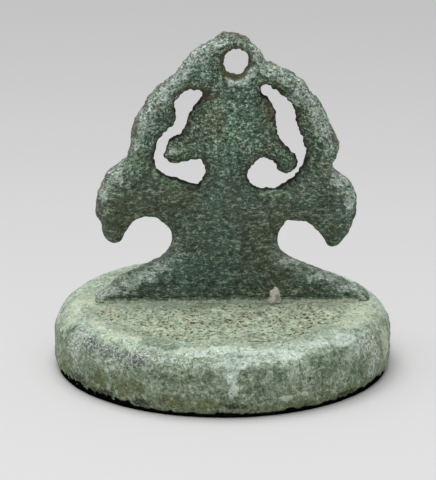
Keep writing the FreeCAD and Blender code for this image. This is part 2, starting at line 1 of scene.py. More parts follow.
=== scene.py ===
"""A corroded bronze seal with a pierced, winged grip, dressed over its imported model.

The sidebar panel lists the pieces. Each has an operator of its own, and the sizes,
colours and light that a user would change are properties of the scene.
"""
import math

import bmesh
import bpy
import numpy as np
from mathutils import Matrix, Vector, kdtree, noise


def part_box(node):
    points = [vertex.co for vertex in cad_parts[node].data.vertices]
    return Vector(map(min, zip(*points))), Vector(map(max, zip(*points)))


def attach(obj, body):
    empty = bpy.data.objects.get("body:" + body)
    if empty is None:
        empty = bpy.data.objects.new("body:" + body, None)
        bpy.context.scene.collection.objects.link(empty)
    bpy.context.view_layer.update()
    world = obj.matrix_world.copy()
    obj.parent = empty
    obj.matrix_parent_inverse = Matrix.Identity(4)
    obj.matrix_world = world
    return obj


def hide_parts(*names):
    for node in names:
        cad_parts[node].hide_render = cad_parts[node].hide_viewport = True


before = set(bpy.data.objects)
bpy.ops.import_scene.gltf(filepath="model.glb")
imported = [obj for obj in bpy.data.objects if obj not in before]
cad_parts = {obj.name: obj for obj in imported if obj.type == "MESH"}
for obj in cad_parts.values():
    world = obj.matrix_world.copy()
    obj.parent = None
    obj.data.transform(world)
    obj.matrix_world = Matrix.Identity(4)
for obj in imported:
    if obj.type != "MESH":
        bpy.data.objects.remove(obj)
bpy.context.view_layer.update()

bl_info = {
    "name": "Bronze Seal",
    "version": (1, 0, 0),
    "blender": (4, 5, 0),
    "location": "3D View > Sidebar > Seal",
    "description": "Builds a corroded bronze seal with a pierced grip",
    "category": "Add Mesh",
}

MM = 0.001
SEAL_LOW, SEAL_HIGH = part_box("seal_disc")
GRIP_LOW, GRIP_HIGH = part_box("handle")
CRUST_LOW, CRUST_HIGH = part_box("soil_crust")
SEAL_RADIUS = (SEAL_HIGH.x - SEAL_LOW.x) / 2
SEAL_TOP = SEAL_HIGH.z
GRIP_MIDDLE = (GRIP_LOW.y + GRIP_HIGH.y) / 2
GRIP_HALF = (GRIP_HIGH.y - GRIP_LOW.y) / 2
GRIP_REACH = 16.0 * MM
GRIP_RISE = GRIP_HIGH.z - SEAL_TOP

# Places on the grip are shares of its reach across and of its rise above the seal
EYE_SHARES = (0.100, 0.898)
EYE_ACROSS = EYE_SHARES[0] * GRIP_REACH
EYE_HEIGHT = SEAL_TOP + EYE_SHARES[1] * GRIP_RISE

# Boxes round the windows' wide lower and narrow upper parts: half-width, bottom and top
WINDOW_SHARES = ((0.57, 0.40, 0.70), (0.43, 0.69, 0.82))

# Patches of patina on the grip: each one's middle and half-sizes
GRIP_PATCH_SHARES = {
    "teal": (
        (0.145, 0.700, 0.16, 0.12), (-0.150, 0.868, 0.15, 0.06), (0.030, 0.385, 0.34, 0.05),
        (-0.240, 0.110, 0.34, 0.09), (0.030, 0.230, 0.16, 0.07), (-0.520, 0.610, 0.08, 0.05),
        (0.900, 0.340, 0.08, 0.05), (0.060, 0.560, 0.14, 0.06),
    ),
    "brown": (
        (-0.060, 0.680, 0.11, 0.06), (-0.340, 0.390, 0.20, 0.06), (-0.760, 0.330, 0.18, 0.09),
        (0.420, 0.335, 0.17, 0.07), (0.280, 0.230, 0.16, 0.12), (0.400, 0.070, 0.20, 0.07),
        (-0.180, 0.800, 0.10, 0.03), (-0.540, 0.370, 0.14, 0.05), (0.330, 0.740, 0.06, 0.09),
    ),
    "pale": (
        (-0.347, 0.838, 0.07, 0.040), (-0.295, 0.872, 0.06, 0.034), (-0.245, 0.902, 0.06, 0.030),
        (-0.185, 0.930, 0.06, 0.026), (-0.124, 0.956, 0.07, 0.022), (-0.030, 0.978, 0.08, 0.016),
        (-0.480, 0.772, 0.12, 0.054), (-0.590, 0.690, 0.08, 0.060), (-0.640, 0.570, 0.05, 0.046),
        (0.276, 0.925, 0.07, 0.034), (0.346, 0.894, 0.07, 0.028), (0.440, 0.866, 0.11, 0.034),
        (0.600, 0.790, 0.10, 0.054), (0.730, 0.700, 0.09, 0.074), (0.790, 0.610, 0.05, 0.044),
        (-0.820, 0.476, 0.08, 0.030), (-0.890, 0.415, 0.045, 0.056), (0.880, 0.456, 0.09, 0.030),
        (0.950, 0.390, 0.04, 0.046), (-0.820, 0.036, 0.10, 0.018), (-0.960, 0.010, 0.10, 0.020),
        (0.990, 0.014, 0.07, 0.020), (-0.700, 0.068, 0.08, 0.020), (-0.580, 0.096, 0.08, 0.020),
        (-0.470, 0.126, 0.07, 0.022), (0.560, 0.146, 0.12, 0.014), (0.800, 0.088, 0.14, 0.014),
        (0.950, 0.040, 0.09, 0.016), (-0.390, 0.575, 0.05, 0.024),
    ),
    "ash": (
        (-0.130, 0.994, 0.09, 0.016), (0.000, 1.010, 0.12, 0.018), (0.130, 1.008, 0.10, 0.018),
        (-0.575, 0.766, 0.05, 0.040), (-0.655, 0.680, 0.04, 0.050), (-0.690, 0.590, 0.03, 0.040),
        (-0.890, 0.467, 0.04, 0.034), (-0.940, 0.380, 0.04, 0.060), (-0.905, 0.285, 0.03, 0.040),
        (0.840, 0.640, 0.03, 0.050),
    ),
    "mint": (
        (-0.350, 0.452, 0.13, 0.022), (-0.470, 0.490, 0.06, 0.022), (0.400, 0.410, 0.15, 0.018),
        (-0.640, 0.545, 0.07, 0.026), (0.300, 0.500, 0.05, 0.016),
    ),
    "rust": (
        (-0.205, 0.790, 0.09, 0.020), (-0.120, 0.770, 0.04, 0.024), (0.365, 0.720, 0.03, 0.040),
    ),
}

# Low swellings and hollows of the cast grip: middle, half-sizes and height
GRIP_FORMS = {
    "head": (0.050, 0.670, 0.26, 0.13, 0.22 * MM),
    "cheek_left": (-0.385, 0.572, 0.08, 0.034, 0.34 * MM),
    "horn_right": (0.480, 0.512, 0.09, 0.034, 0.22 * MM),
    "crown_field": (-0.165, 0.868, 0.13, 0.050, -0.26 * MM),
    "stem": (0.000, 0.300, 0.22, 0.140, 0.18 * MM),
    "neck_left": (-0.620, 0.535, 0.09, 0.030, -0.22 * MM),
    "neck_right": (0.730, 0.500, 0.09, 0.030, -0.18 * MM),
    "lobe_left": (-0.780, 0.390, 0.12, 0.070, 0.24 * MM),
    "lobe_right": (0.850, 0.380, 0.12, 0.070, 0.20 * MM),
    "dent_left": (-0.300, 0.360, 0.08, 0.030, -0.14 * MM),
    "dent_right": (0.330, 0.140, 0.09, 0.035, -0.12 * MM),
}

# Small knobs on the grip's outline: middle, size and height
GRIP_KNOBS = {
    "arch_left": (-0.640, 0.722, 0.35 * MM, 0.32 * MM),
    "arch_left_high": (-0.470, 0.803, 0.40 * MM, 0.16 * MM),
    "arch_right": (0.700, 0.752, 0.40 * MM, 0.16 * MM),
    "cheek_left": (-0.425, 0.548, 0.30 * MM, 0.20 * MM),
    "window_right": (0.330, 0.530, 0.28 * MM, 0.24 * MM),
}

# Patches on the round seal in millimetres: each one's middle and half-sizes
SEAL_PATCHES = {
    "slate": (
        (-15.6, -11.4, 6.2, 1.6, 1.7, 0.9), (-13.7, -13.5, 6.1, 1.8, 1.7, 0.9),
        (-11.8, -15.2, 6.1, 1.8, 1.5, 0.8), (-10.2, -16.6, 5.9, 1.5, 1.2, 0.7),
        (15.6, 12.4, 5.0, 2.6, 3.0, 1.2),
    ),
    "olive": (
        (-14.9, -13.4, 2.7, 1.7, 1.7, 1.1), (-12.3, -15.8, 2.4, 1.9, 1.6, 1.2),
        (-10.5, -17.0, 3.0, 1.8, 1.3, 0.9), (-6.0, -19.1, 1.9, 2.4, 1.2, 0.8),
        (-2.5, -19.8, 1.6, 2.2, 1.0, 0.7), (9.0, -17.8, 1.0, 3.2, 1.6, 0.5),
        (14.5, -13.6, 1.3, 2.4, 2.4, 0.7), (-18.6, -6.6, 1.8, 1.4, 2.6, 1.0),
    ),
    "moss": (
        (3.4, -19.5, 3.4, 1.2, 0.8, 0.8), (15.8, -12.0, 3.4, 1.4, 1.8, 1.2),
        (-7.7, -18.4, 4.7, 2.2, 1.4, 0.8), (10.4, -16.6, 5.8, 1.5, 1.2, 0.8),
        (13.6, -14.0, 6.0, 1.9, 1.5, 0.7), (12.0, -15.8, 4.8, 2.2, 1.6, 0.8),
        (6.1, -18.9, 5.1, 0.9, 1.0, 0.7), (2.0, -19.7, 5.3, 0.8, 0.8, 0.6),
        (-2.3, -19.7, 5.0, 1.0, 0.9, 0.7), (-8.8, -14.9, 7.7, 2.4, 1.3, 0.3),
        (-6.3, -16.4, 7.6, 1.6, 1.0, 0.3), (4.1, -19.4, 5.2, 0.6, 0.8, 0.8),
    ),
    "cream": (
        (-15.2, -8.4, 7.7, 1.5, 1.2, 0.4), (-13.2, -11.8, 7.5, 1.5, 1.1, 0.4),
        (-11.0, -13.6, 7.6, 1.8, 0.9, 0.3), (-15.0, -13.2, 4.9, 0.6, 0.6, 0.30),
        (-13.4, -14.9, 4.6, 0.6, 0.6, 0.25), (-16.4, 0.5, 7.8, 1.8, 3.0, 0.6),
        (-18.2, -3.2, 7.1, 1.4, 2.6, 0.9), (16.3, -4.6, 7.7, 2.6, 3.6, 0.8),
        (14.4, -8.3, 7.7, 2.4, 2.2, 0.4), (9.0, -17.8, 2.2, 1.0, 0.7, 0.35),
        (6.8, -18.8, 2.1, 0.9, 0.6, 0.30), (-4.5, -17.2, 7.6, 1.8, 0.5, 0.3),
        (19.2, -5.6, 4.2, 0.9, 1.8, 2.2),
    ),
    "frost": (
        (-10.3, -16.2, 6.6, 2.0, 1.4, 0.6), (-7.1, -17.7, 6.6, 2.2, 1.2, 0.5),
        (-16.8, -9.4, 6.7, 1.6, 2.2, 0.9), (-17.6, -8.8, 5.2, 1.2, 2.0, 1.5),
        (16.9, -9.8, 5.8, 1.4, 2.2, 1.4), (17.9, -8.9, 3.8, 1.0, 2.0, 1.6),
        (17.4, -9.8, 2.3, 1.0, 1.6, 0.9), (14.0, 13.4, 6.6, 3.0, 3.0, 1.2),
    ),
    "milk": (
        (0.6, -19.2, 6.4, 1.7, 1.0, 0.7), (2.7, -18.9, 6.6, 1.6, 1.0, 0.6),
        (3.9, -17.8, 7.4, 2.6, 1.0, 0.4), (7.4, -17.4, 6.8, 2.4, 1.0, 0.6),
        (11.0, -14.9, 7.2, 2.0, 1.4, 0.5), (14.0, -12.7, 7.0, 1.7, 1.6, 0.6),
        (-0.2, -17.3, 7.6, 2.4, 0.9, 0.3), (-3.0, -18.0, 7.2, 2.4, 0.9, 0.4),
        (0.6, -19.9, 5.0, 0.6, 0.8, 0.9), (0.8, -20.0, 3.3, 0.6, 0.8, 0.9),
    ),
    "flake": (
        (2.0, -12.9, 7.8, 0.9, 0.5, 0.8), (0.2, -13.6, 7.8, 1.0, 0.4, 0.8),
        (7.2, -2.4, 7.8, 1.7, 0.4, 0.8), (-3.4, -9.6, 7.8, 0.5, 0.5, 0.8),
    ),
    "smudge": (
        (1.1, -20.0, 1.5, 1.3, 0.9, 0.5), (-9.9, -17.4, 1.1, 1.6, 1.0, 0.5),
        (-17.2, -10.1, 1.7, 1.8, 2.0, 0.6), (14.0, -14.2, 0.9, 2.4, 2.2, 0.4),
        (-14.4, -13.9, 1.2, 2.0, 2.0, 0.5), (9.6, -17.5, 3.9, 0.32, 0.32, 0.28),
        (11.0, 16.6, 0.9, 3.0, 2.4, 0.5),
    ),
    # Painted shadow: near-black patches low on the front that widen the shaded band under the rim
    "painted_low_shadow": (
        (-19.0, -6.2, 0.6, 1.0, 2.2, 0.50), (-17.8, -9.2, 0.6, 1.5, 2.2, 0.60),
        (-16.5, -11.3, 0.6, 1.8, 1.9, 0.60), (-14.6, -13.7, 0.6, 2.0, 1.9, 0.50),
        (-12.2, -15.9, 0.5, 2.0, 1.6, 0.45), (16.4, -11.5, 0.5, 1.8, 2.0, 0.40),
        (18.2, -8.2, 0.6, 1.0, 1.8, 0.50),
    ),
}

# Bands over which an effect sets in: the lengths where it starts and where it is full
BANDS = {
    # Heights over the floor
    "grip_upper": (SEAL_TOP + 0.38 * GRIP_RISE, SEAL_TOP + 0.62 * GRIP_RISE),
    "grip_shape": (SEAL_TOP + 0.5 * MM, SEAL_TOP + 4.0 * MM),
    "grip_skin": (SEAL_TOP + 0.2 * MM, SEAL_TOP + 1.5 * MM),
    "solder_green": (SEAL_TOP + 0.18 * MM, SEAL_TOP + 0.42 * MM),
    "side": (1.2 * MM, 2.6 * MM),
    "drips": (1.0 * MM, 5.5 * MM),
    "bloom": (5.4 * MM, 6.8 * MM),
    # Out from the seal's middle, and in from its side
    "sway": (12.0 * MM, 19.0 * MM),
    "stain": (0.0 * MM, 5.0 * MM),
    "flat_top": (2.4 * MM, 3.8 * MM),
    # Out from the eye's middle
    "eye_pull": (1.6 * MM, 3.0 * MM),
    "eye_ring": (1.7 * MM, 2.1 * MM),
    "eye_lip": (1.7 * MM, 1.95 * MM),
    "eye_round": (1.9 * MM, 3.4 * MM),
    # In from the grip's outline and from its openings
    "ridge_rise": (0.1 * MM, 0.7 * MM),
    "ridge_fall": (1.3 * MM, 2.0 * MM),
    "opening_skin": (0.1 * MM, 0.9 * MM),
    "lip": (0.8 * MM, 1.2 * MM),
    # In from the crust's torn edge
    "crust_rise": (0.1 * MM, 1.8 * MM),
    "crust_rim": (0.6 * MM, 3.0 * MM),
}

# Noise worn into the meshes: strength, lump size, seed and octaves
SKINS = {
    "seal": ((0.11 * MM, 6.2 * MM, 3, 3), (0.06 * MM, 1.7 * MM, 5, 3), (0.055 * MM, 0.75 * MM, 9, 1)),
    "seal_chips": ((1.0, 1.3 * MM, 21, 3),),
    # Ragged edge of the painted low shadow
    "seal_low_shadow_edge": ((0.9, 0.7 * MM, 61, 3),),
    "grip": ((0.11 * MM, 4.6 * MM, 31, 3),),
    "grip_grains": ((0.15 * MM, 1.7 * MM, 37, 2), (0.10 * MM, 0.65 * MM, 41, 2)),
    "grip_openings": ((0.13 * MM, 0.50 * MM, 43, 1),),
    "grip_walls": ((0.10, 0.7 * MM, 45, 2),),
    "solder": ((0.06 * MM, 1.2 * MM, 61, 2), (0.03 * MM, 0.5 * MM, 63, 1)),
    "crust_edge": ((1.3 * MM, 2.2 * MM, 51, 4),),
    "crust_lumps": ((0.5, 1.3 * MM, 53, 3),),
    "crust_crumbs": ((1.0, 0.48 * MM, 57, 1),),
    "nodule": ((0.30 * MM, 0.7 * MM, 75, 3),),
}

# Noise fields in the materials: lump size, octaves and roughness
FIELDS = {
    "lumps": (1.2 * MM, 2.0, 0.50),
    "ragged_line": (1.2 * MM, 3.0, 0.50),
    "grip_drift": (2.8 * MM, 3.0, 0.60),
    "grip_broad": (3.4 * MM, 2.0, 0.50),
    "grip_push": (1.6 * MM, 4.0, 0.70),
    "grip_torn": (0.6 * MM, 3.0, 0.80),
    "seal_drift": (3.2 * MM, 4.0, 0.62),
    "seal_broad": (4.5 * MM, 2.0, 0.50),
    "seal_push": (1.3 * MM, 4.0, 0.75),
    "moss": (1.9 * MM, 3.0, 0.60),
    "drips": (1.7 * MM, 3.0, 0.65),
    "cream": (0.7 * MM, 3.0, 0.80),
    "smudge": (0.45 * MM, 3.0, 0.90),
    "crust_drift": (3.0 * MM, 3.0, 0.60),
    "crust_broad": (3.6 * MM, 2.0, 0.50),
    "crust_stain": (2.1 * MM, 4.0, 0.65),
}

# Corrosion grains of each finish: size, how hard they bite and how high they stand
GRAINS = {
    "grip": (0.50 * MM, 3.1, 0.60 * MM),
    "seal": (0.56 * MM, 3.0, 0.35 * MM),
    # Grains in the painted shadow under the seal's rim
    "dirt": (0.50 * MM, 3.0, 0.30 * MM),
    "solder": (0.60 * MM, 3.0, 0.20 * MM),
    "crust": (0.72 * MM, 3.4, 0.40 * MM),
    "nodule": (0.50 * MM, 3.6, 0.30 * MM),
}
CRISP_GRAINS = (0.36 * MM, 4.0)

# Sparse flecks: their size and how densely they lie
FLECKS = {"cream": (0.80 * MM, 0.12), "pits": (0.55 * MM, 0.13), "pores": (0.50 * MM, 0.21)}

# How far the seal stands out of round: by how much, how many times round and from which angle
SWAYS = ((0.12 * MM, 2, 0.6), (0.07 * MM, 3, -1.1))

# Single lengths of the wear, the patina, the solder and the crust
CHIP_TOP = 1.6 * MM
CHIP_LIFT = 0.22 * MM
CHIP_BITE = 0.16 * MM
RIDGE_LIFT = 0.30 * MM
EYE_WALL = 2.2 * MM
LIP_REACH = 3.6 * MM
UPPER_BUMP = 0.40 * MM
SIDE_DRIFT = 12.0 * MM
BLOOM_DRIFT = 9.0 * MM
SOLDER_DRIFT = 0.6 * MM
SOLDER_SWELL = 0.08 * MM
SOLDER_SINK = 0.05 * MM
CRUST_EDGE = 0.25 * MM
CRUST_SINK = 0.12 * MM

# Three-step shades: name, what they colour, and the colours of pits, surface and grains
SHADES = {
    "green": ("Green", "the grip's green patina", (38, 50, 37), (72, 91, 71), (150, 168, 146)),
    "teal": ("Teal", "the grip's blue-green patches", (38, 54, 45), (76, 102, 88), (152, 178, 166)),
    "brown": ("Brown", "the grip's brown patches", (42, 42, 30), (82, 86, 66), (142, 150, 126)),
    # Pale also colours the painted highlight on the grip's outer edges that face up
    "pale": ("Pale", "the pale edges", (84, 102, 87), (176, 196, 179), (242, 249, 240)),
    "mint": ("Mint", "the light green bands and moss", (62, 88, 64), (116, 146, 112), (196, 220, 190)),
    "side": ("Side", "the seal's side", (76, 88, 66), (134, 151, 127), (196, 210, 184)),
    "top": ("Top", "the seal's top", (112, 126, 100), (152, 166, 143), (208, 216, 190)),
    "bloom": ("Bloom", "the pale shoulder", (128, 150, 128), (182, 200, 180), (226, 236, 222)),
    "milk": ("Milk", "the whitest bloom", (156, 180, 159), (204, 222, 207), (246, 252, 246)),
    "frost": ("Frost", "the white-grained patches", (92, 106, 94), (170, 184, 168), (244, 248, 240)),
    "slate": ("Slate", "the grey patches", (40, 50, 46), (98, 109, 103), (212, 220, 214)),
    "olive": ("Olive", "the olive patches low on the side", (70, 76, 46), (106, 114, 78), (146, 154, 112)),
    "soil": ("Soil", "the soil crust", (60, 70, 48), (182, 197, 171), (210, 219, 193)),
}


def plain(red, green, blue):
    """A colour as the eye reads it, from 0 to 255, turned into light."""
    shares = (channel / 255 for channel in (red, green, blue))
    return tuple(s / 12.92 if s <= 0.04045 else ((s + 0.055) / 1.055) ** 2.4 for s in shares)


def colour_property(name, description, red, green, blue):
    """A colour that a user can change."""
    return bpy.props.FloatVectorProperty(
        name=name, description=description, subtype="COLOR", size=3,
        min=0.0, max=1.0, default=plain(red, green, blue))


def length_property(name, description, default, least=0.0):
    """A length that a user can change."""
    return bpy.props.FloatProperty(
        name=name, description=description, default=default,
        min=least, subtype="DISTANCE", unit="LENGTH", precision=5)


def angle_property(name, description, degrees):
    """An angle that a user can change."""
    return bpy.props.FloatProperty(
        name=name, description=description, default=math.radians(degrees), subtype="ANGLE")


def with_shades(group):
    """Add the three colours of every shade to a property group."""
    colours_of = group.__annotations__
    for shade, (name, what, pit, surface, grain) in SHADES.items():
        colours_of[f"{shade}_dark"] = colour_property(f"{name}, pits", f"Pits in {what}", *pit)
        colours_of[shade] = colour_property(name, f"Surface of {what}", *surface)
        colours_of[f"{shade}_light"] = colour_property(f"{name}, grains", f"Grains of {what}", *grain)
    return group


class SealSizes(bpy.types.PropertyGroup):
    """Sizes of the seal's worn and corroded surfaces."""

    face_radius: length_property("Face radius", "Radius of the flat sealing face", 19.60 * MM)
    rim_radius: length_property("Rim radius", "Radius of the rim round the face", 19.75 * MM)
    rim_lift: length_property("Rim lift", "Height of the rim above the face", 0.43 * MM)
    widest_height: length_property("Widest height", "Height where the seal is widest", 1.8 * MM)
    shoulder_radius: length_property("Shoulder", "Rounding between side and top", 3.6 * MM)
    cut_depth: length_property("Cut depth", "Depth of the design in the face", 0.8 * MM)
    border_radius: length_property("Border radius", "Middle of the ring cut round the face", 16.8 * MM)
    border_width: length_property("Border width", "Width of that ring", 1.3 * MM)
    petal_count: bpy.props.IntProperty(
        name="Petals", description="Petals in the rosette", default=8, min=3)
    petal_root: length_property("Petal root", "Where the petals start", 3.8 * MM)
    petal_tip: length_property("Petal tip", "Where the petals end", 14.4 * MM)
    petal_width: length_property("Petal width", "Widest part of a petal", 4.6 * MM)
    dot_circle: length_property("Dot circle", "Circle that carries the dots", 13.6 * MM)
    dot_radius: length_property("Dot radius", "Radius of one dot", 0.85 * MM)
    core_radius: length_property("Core radius", "Outside of the ring round the boss", 2.6 * MM)
    core_boss: length_property("Core boss", "Radius of the boss in the middle", 1.5 * MM)
    face_step: length_property("Face detail", "Spacing of the rings on the sealing face", 0.32 * MM)
    side_step: length_property("Side detail", "Spacing of the rings on the side", 0.20 * MM)
    top_step: length_property("Top detail", "Spacing of the rings on the top", 0.26 * MM)
    spokes: bpy.props.IntProperty(
        name="Spokes", description="Mesh steps round the seal", default=520, min=24)
    grip_voxel: length_property("Grip detail", "Mesh size on the grip", 0.152 * MM)
    solder_voxel: length_property("Solder detail", "Mesh size on the solder", 0.13 * MM)
    nodule_voxel: length_property("Nodule detail", "Mesh size on the nodule", 0.10 * MM)
    crust_step: length_property("Crust detail", "Mesh size on the crust", 0.13 * MM)
    edge_width: length_property("Edge width", "How far in the grip's edge is rounded", 2.6 * MM)
    edge_drop: bpy.props.FloatProperty(
        name="Edge drop", description="Share of its half thickness that the grip loses at its outline",
        default=0.62, min=0.0, max=0.9)


@with_shades
class SealColours(bpy.types.PropertyGroup):
    """Colours of the patina, crust and stage."""

    # Deep is dirt in smudges and on the openings' rims, and painted shade on the grip's walls and under the
    # seal's rim
    deep: colour_property("Deep", "Dirt in hollows and holes and at the seal's rim", 20, 20, 15)
    ash: colour_property("Ash", "Grey skin along the outline and on the walls that face up", 122, 118, 104)
    rust: colour_property("Rust", "Red-brown ring of the eye", 116, 90, 70)
    cream: colour_property("Cream", "Cream patches", 202, 214, 186)
    clay: colour_property("Clay", "Brown parts of the crust", 174, 169, 144)
    lime_dark: colour_property("Lime, pits", "Pits in the pale nodule", 184, 180, 164)
    lime: colour_property("Lime", "The pale nodule", 232, 230, 218)
    floor_near: colour_property("Floor, near", "The floor in front", 218, 218, 218)
    floor_far: colour_property("Floor, far", "The floor behind", 186, 186, 186)


class SealStage(bpy.types.PropertyGroup):
    """Camera, light and floor."""

    azimuth: angle_property("Azimuth", "Camera's turn round the seal", -1.45)
    elevation: angle_property("Elevation", "Camera's height above level", 17.6)
    distance: length_property("Distance", "Camera to its aim", 460.0 * MM)
    aim_across: length_property("Aim across", "The camera's aim, to the right", -0.5 * MM, least=-1.0)
    aim_height: length_property("Aim height", "Height of the camera's aim", 15.35 * MM)
    lens: bpy.props.FloatProperty(
        name="Lens", description="Focal length in millimetres", default=289.5, min=1.0)
    floor_size: length_property("Floor size", "Side of the floor", 4.0)
    fade_near: length_property("Fade starts", "Where the floor starts to darken", -0.06, least=-1.0)
    fade_far: length_property("Fade ends", "Where the floor is darkest", 0.20, least=-1.0)
    sky: bpy.props.FloatProperty(
        name="Sky", description="Strength of the light all round", default=0.45, min=0.0)
    lamp: bpy.props.FloatProperty(
        name="Lamp", description="Power of the soft lamp above", default=4.6, min=0.0, subtype="POWER")
    lamp_side: length_property("Lamp side", "Side of the soft lamp above", 0.60)
    lamp_height: length_property("Lamp height", "Height of the soft lamp", 0.75)
    lamp_back: length_property("Lamp back", "How far behind the seal the lamp hangs", 0.05, least=-1.0)
    lamp_left: length_property("Lamp left", "How far left of the seal the lamp hangs", 0.10)


def sizes():
    """The scene's sizes."""
    return bpy.context.scene.seal_sizes


def colours():
    """The scene's colours."""
    return bpy.context.scene.seal_colours


def stage():
    """The scene's camera, light and floor."""
    return bpy.context.scene.seal_stage


def smooth(value, low, high):
    """0 below low, 1 above high, and an even turn between them."""
    share = np.clip((value - low) / (high - low), 0.0, 1.0)
    return share * share * (3.0 - 2.0 * share)


def past(value, band):
    """0 before a named band, 1 past it, and an even turn between."""
    return smooth(value, *BANDS[band])


def grains(points, size, seed, octaves):
    """Smooth random values from about -1 to 1 at each point, with lumps of that size."""
    shift = Vector((seed * 7.31, seed * 3.17, seed * 5.93))
    scaled = (Vector(point) / size + shift for point in points)
    if octaves == 1:
        return np.array([noise.noise(point) for point in scaled]) * 1.6
    return np.array([noise.fractal(point, 1.0, 2.0, octaves) for point in scaled]) * 1.2


def skin(points, name):
    """The noise of one of the named skins at each point."""
    return sum(strength * grains(points, *lumps) for strength, *lumps in SKINS[name])


def rows(items, name):
    """One vector for each item, as an array."""
    flat = np.empty(len(items) * 3)
    items.foreach_get(name, flat)
    return flat.reshape(-1, 3)


def points_and_normals(mesh):
    """A mesh's vertices and their normals as arrays."""
    return rows(mesh.vertices, "co"), rows(mesh.vertex_normals, "vector")


def move_points(mesh, points):
    """Put a mesh's vertices at new places."""
    mesh.vertices.foreach_set("co", points.astype(np.float32).ravel())
    mesh.update()


def keep_masks(mesh, **masks):
    """Store named values for each vertex, for a material to read."""
    for name, values in masks.items():
        attribute = mesh.attributes.new(name, "FLOAT", "POINT")
        attribute.data.foreach_set("value", values.astype(np.float32))


def mesh_from(name, points, faces):
    """A smooth-shaded mesh from points and faces."""
    mesh = bpy.data.meshes.new(name)
    mesh.from_pydata([tuple(point) for point in points], [], faces)
    mesh.update()
    mesh.polygons.foreach_set("use_smooth", [True] * len(mesh.polygons))
    return mesh


def show(name, data):
    """A new object in the scene."""
    shown = bpy.data.objects.new(name, data)
    bpy.context.scene.collection.objects.link(shown)
    return shown


def add_piece(name, mesh, material, slot, *nodes):
    """Show a mesh as a piece that stands for CAD nodes and rides on the only body."""
    piece = show(name, mesh)
    mesh.materials.clear()
    mesh.materials.append(material)
    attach(piece, "root")
    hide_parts(*nodes)
    return piece


def remeshed(node, voxel, relax):
    """An even, closed mesh over a CAD node's surface."""
    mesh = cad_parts[node].data.copy()
    work = bmesh.new()
    work.from_mesh(mesh)
    bmesh.ops.remove_doubles(work, verts=work.verts, dist=voxel / 1000)
    work.to_mesh(mesh)
    work.free()
    holder = show(f"{node}_work", mesh)
    cover = holder.modifiers.new("cover", "REMESH")
    cover.mode = "VOXEL"
    cover.voxel_size = voxel
    ease = holder.modifiers.new("ease", "SMOOTH")
    ease.factor = 0.5
    ease.iterations = relax
    graph = bpy.context.evaluated_depsgraph_get()
    even = bpy.data.meshes.new_from_object(holder.evaluated_get(graph))
    bpy.data.objects.remove(holder)
    bpy.data.meshes.remove(mesh)
    even.polygons.foreach_set("use_smooth", [True] * len(even.polygons))
    even.update()
    return even


class Wiring:
    """Adds nodes to a tree, one call for each."""

    def __init__(self, tree):
        self.tree = tree

    def feed(self, socket, value):
        """Link a socket into another, or give it a fixed value."""
        if isinstance(value, bpy.types.NodeSocket):
            self.tree.links.new(value, socket)
        else:
            socket.default_value = value

    def add(self, kind, inputs=(), **settings):
        """One node with its settings and inputs, which go by name or by number."""
        node = self.tree.nodes.new(kind)
        for name, value in settings.items():
            setattr(node, name, value)
        for name, value in dict(inputs).items():
            self.feed(node.inputs[name], value)
        return node

    def maths(self, operation, first, second, clamp=False):
        """A Math node's result."""
        node = self.add("ShaderNodeMath", {0: first, 1: second}, operation=operation, use_clamp=clamp)
        return node.outputs[0]

    def plus(self, first, second, clamp=False):
        """Two values added."""
        return self.maths("ADD", first, second, clamp)

    def most(self, first, second):
        """The larger of two values."""
        return self.maths("MAXIMUM", first, second)

    def times(self, product, *others):
        """Values multiplied."""
        for value in others:
            product = self.maths("MULTIPLY", product, value)
        return product

    def inverse(self, value):
        """One less a value."""
        return self.maths("SUBTRACT", 1.0, value)

    def swing(self, value, gain, middle=0.0):
        """Noise turned to swing about a middle: 0.5 gives the middle."""
        return self.plus(self.times(self.maths("SUBTRACT", value, 0.5), gain), middle)

    def span(self, value, low, high):
        """0 below low, 1 above high, eased between."""
        wires = {"Value": value, "From Min": low, "From Max": high}
        return self.add("ShaderNodeMapRange", wires, interpolation_type="SMOOTHSTEP").outputs["Result"]

    def vectors(self, operation, first, second):
        """A Vector Math node's result."""
        return self.add("ShaderNodeVectorMath", {0: first, 1: second}, operation=operation).outputs[0]

    def axis(self, vector, name):
        """One axis of a vector."""
        return self.add("ShaderNodeSeparateXYZ", {"Vector": vector}).outputs[name]

    def mix(self, factor, first, second, blend="MIX"):
        """A colour between two colours."""
        node = self.add("ShaderNodeMix", {0: factor}, data_type="RGBA", blend_type=blend)
        for socket, value in ((node.inputs[6], first), (node.inputs[7], second)):
            self.feed(socket, value if isinstance(value, bpy.types.NodeSocket) else (*value, 1.0))
        return node.outputs[2]

    def toned(self, colour, tone):
        """A colour made darker or lighter by a value."""
        grey = self.add("ShaderNodeCombineColor", {"Red": tone, "Green": tone, "Blue": tone})
        return self.mix(1.0, colour, grey.outputs[0], blend="MULTIPLY")

    def noise(self, vector, size, detail, roughness, finer=2.0):
        """Noise with lumps of a size, from 0 to 1; each octave is that many times finer."""
        wires = {
            "Vector": vector, "Scale": self.maths("DIVIDE", 1.0, size),
            "Detail": detail, "Roughness": roughness, "Lacunarity": finer}
        return self.add("ShaderNodeTexNoise", wires).outputs["Fac"]

    def field(self, vector, name):
        """One of the named noise fields."""
        return self.noise(vector, *FIELDS[name])

    def mask(self, name):
        """A value stored on the mesh."""
        return self.add("ShaderNodeAttribute", attribute_name=name, attribute_type="GEOMETRY").outputs["Fac"]

    def group(self, name, inputs):
        """A shared effect, built once, with this place's own values."""
        tree = bpy.data.node_groups.get(name) or GROUP_MAKERS[name](name)
        return self.add("ShaderNodeGroup", inputs, node_tree=tree).outputs


def new_group(name, inputs, outputs):
    """An empty node group with named sockets: its tree, its wiring, and what comes in and goes out."""
    tree = bpy.data.node_groups.new(name, "ShaderNodeTree")
    for direction, sockets in (("INPUT", inputs), ("OUTPUT", outputs)):
        for socket_name, kind in sockets.items():
            tree.interface.new_socket(name=socket_name, in_out=direction, socket_type=f"NodeSocket{kind}")
    wires = Wiring(tree)
    return tree, wires, wires.add("NodeGroupInput").outputs, wires.add("NodeGroupOutput").inputs


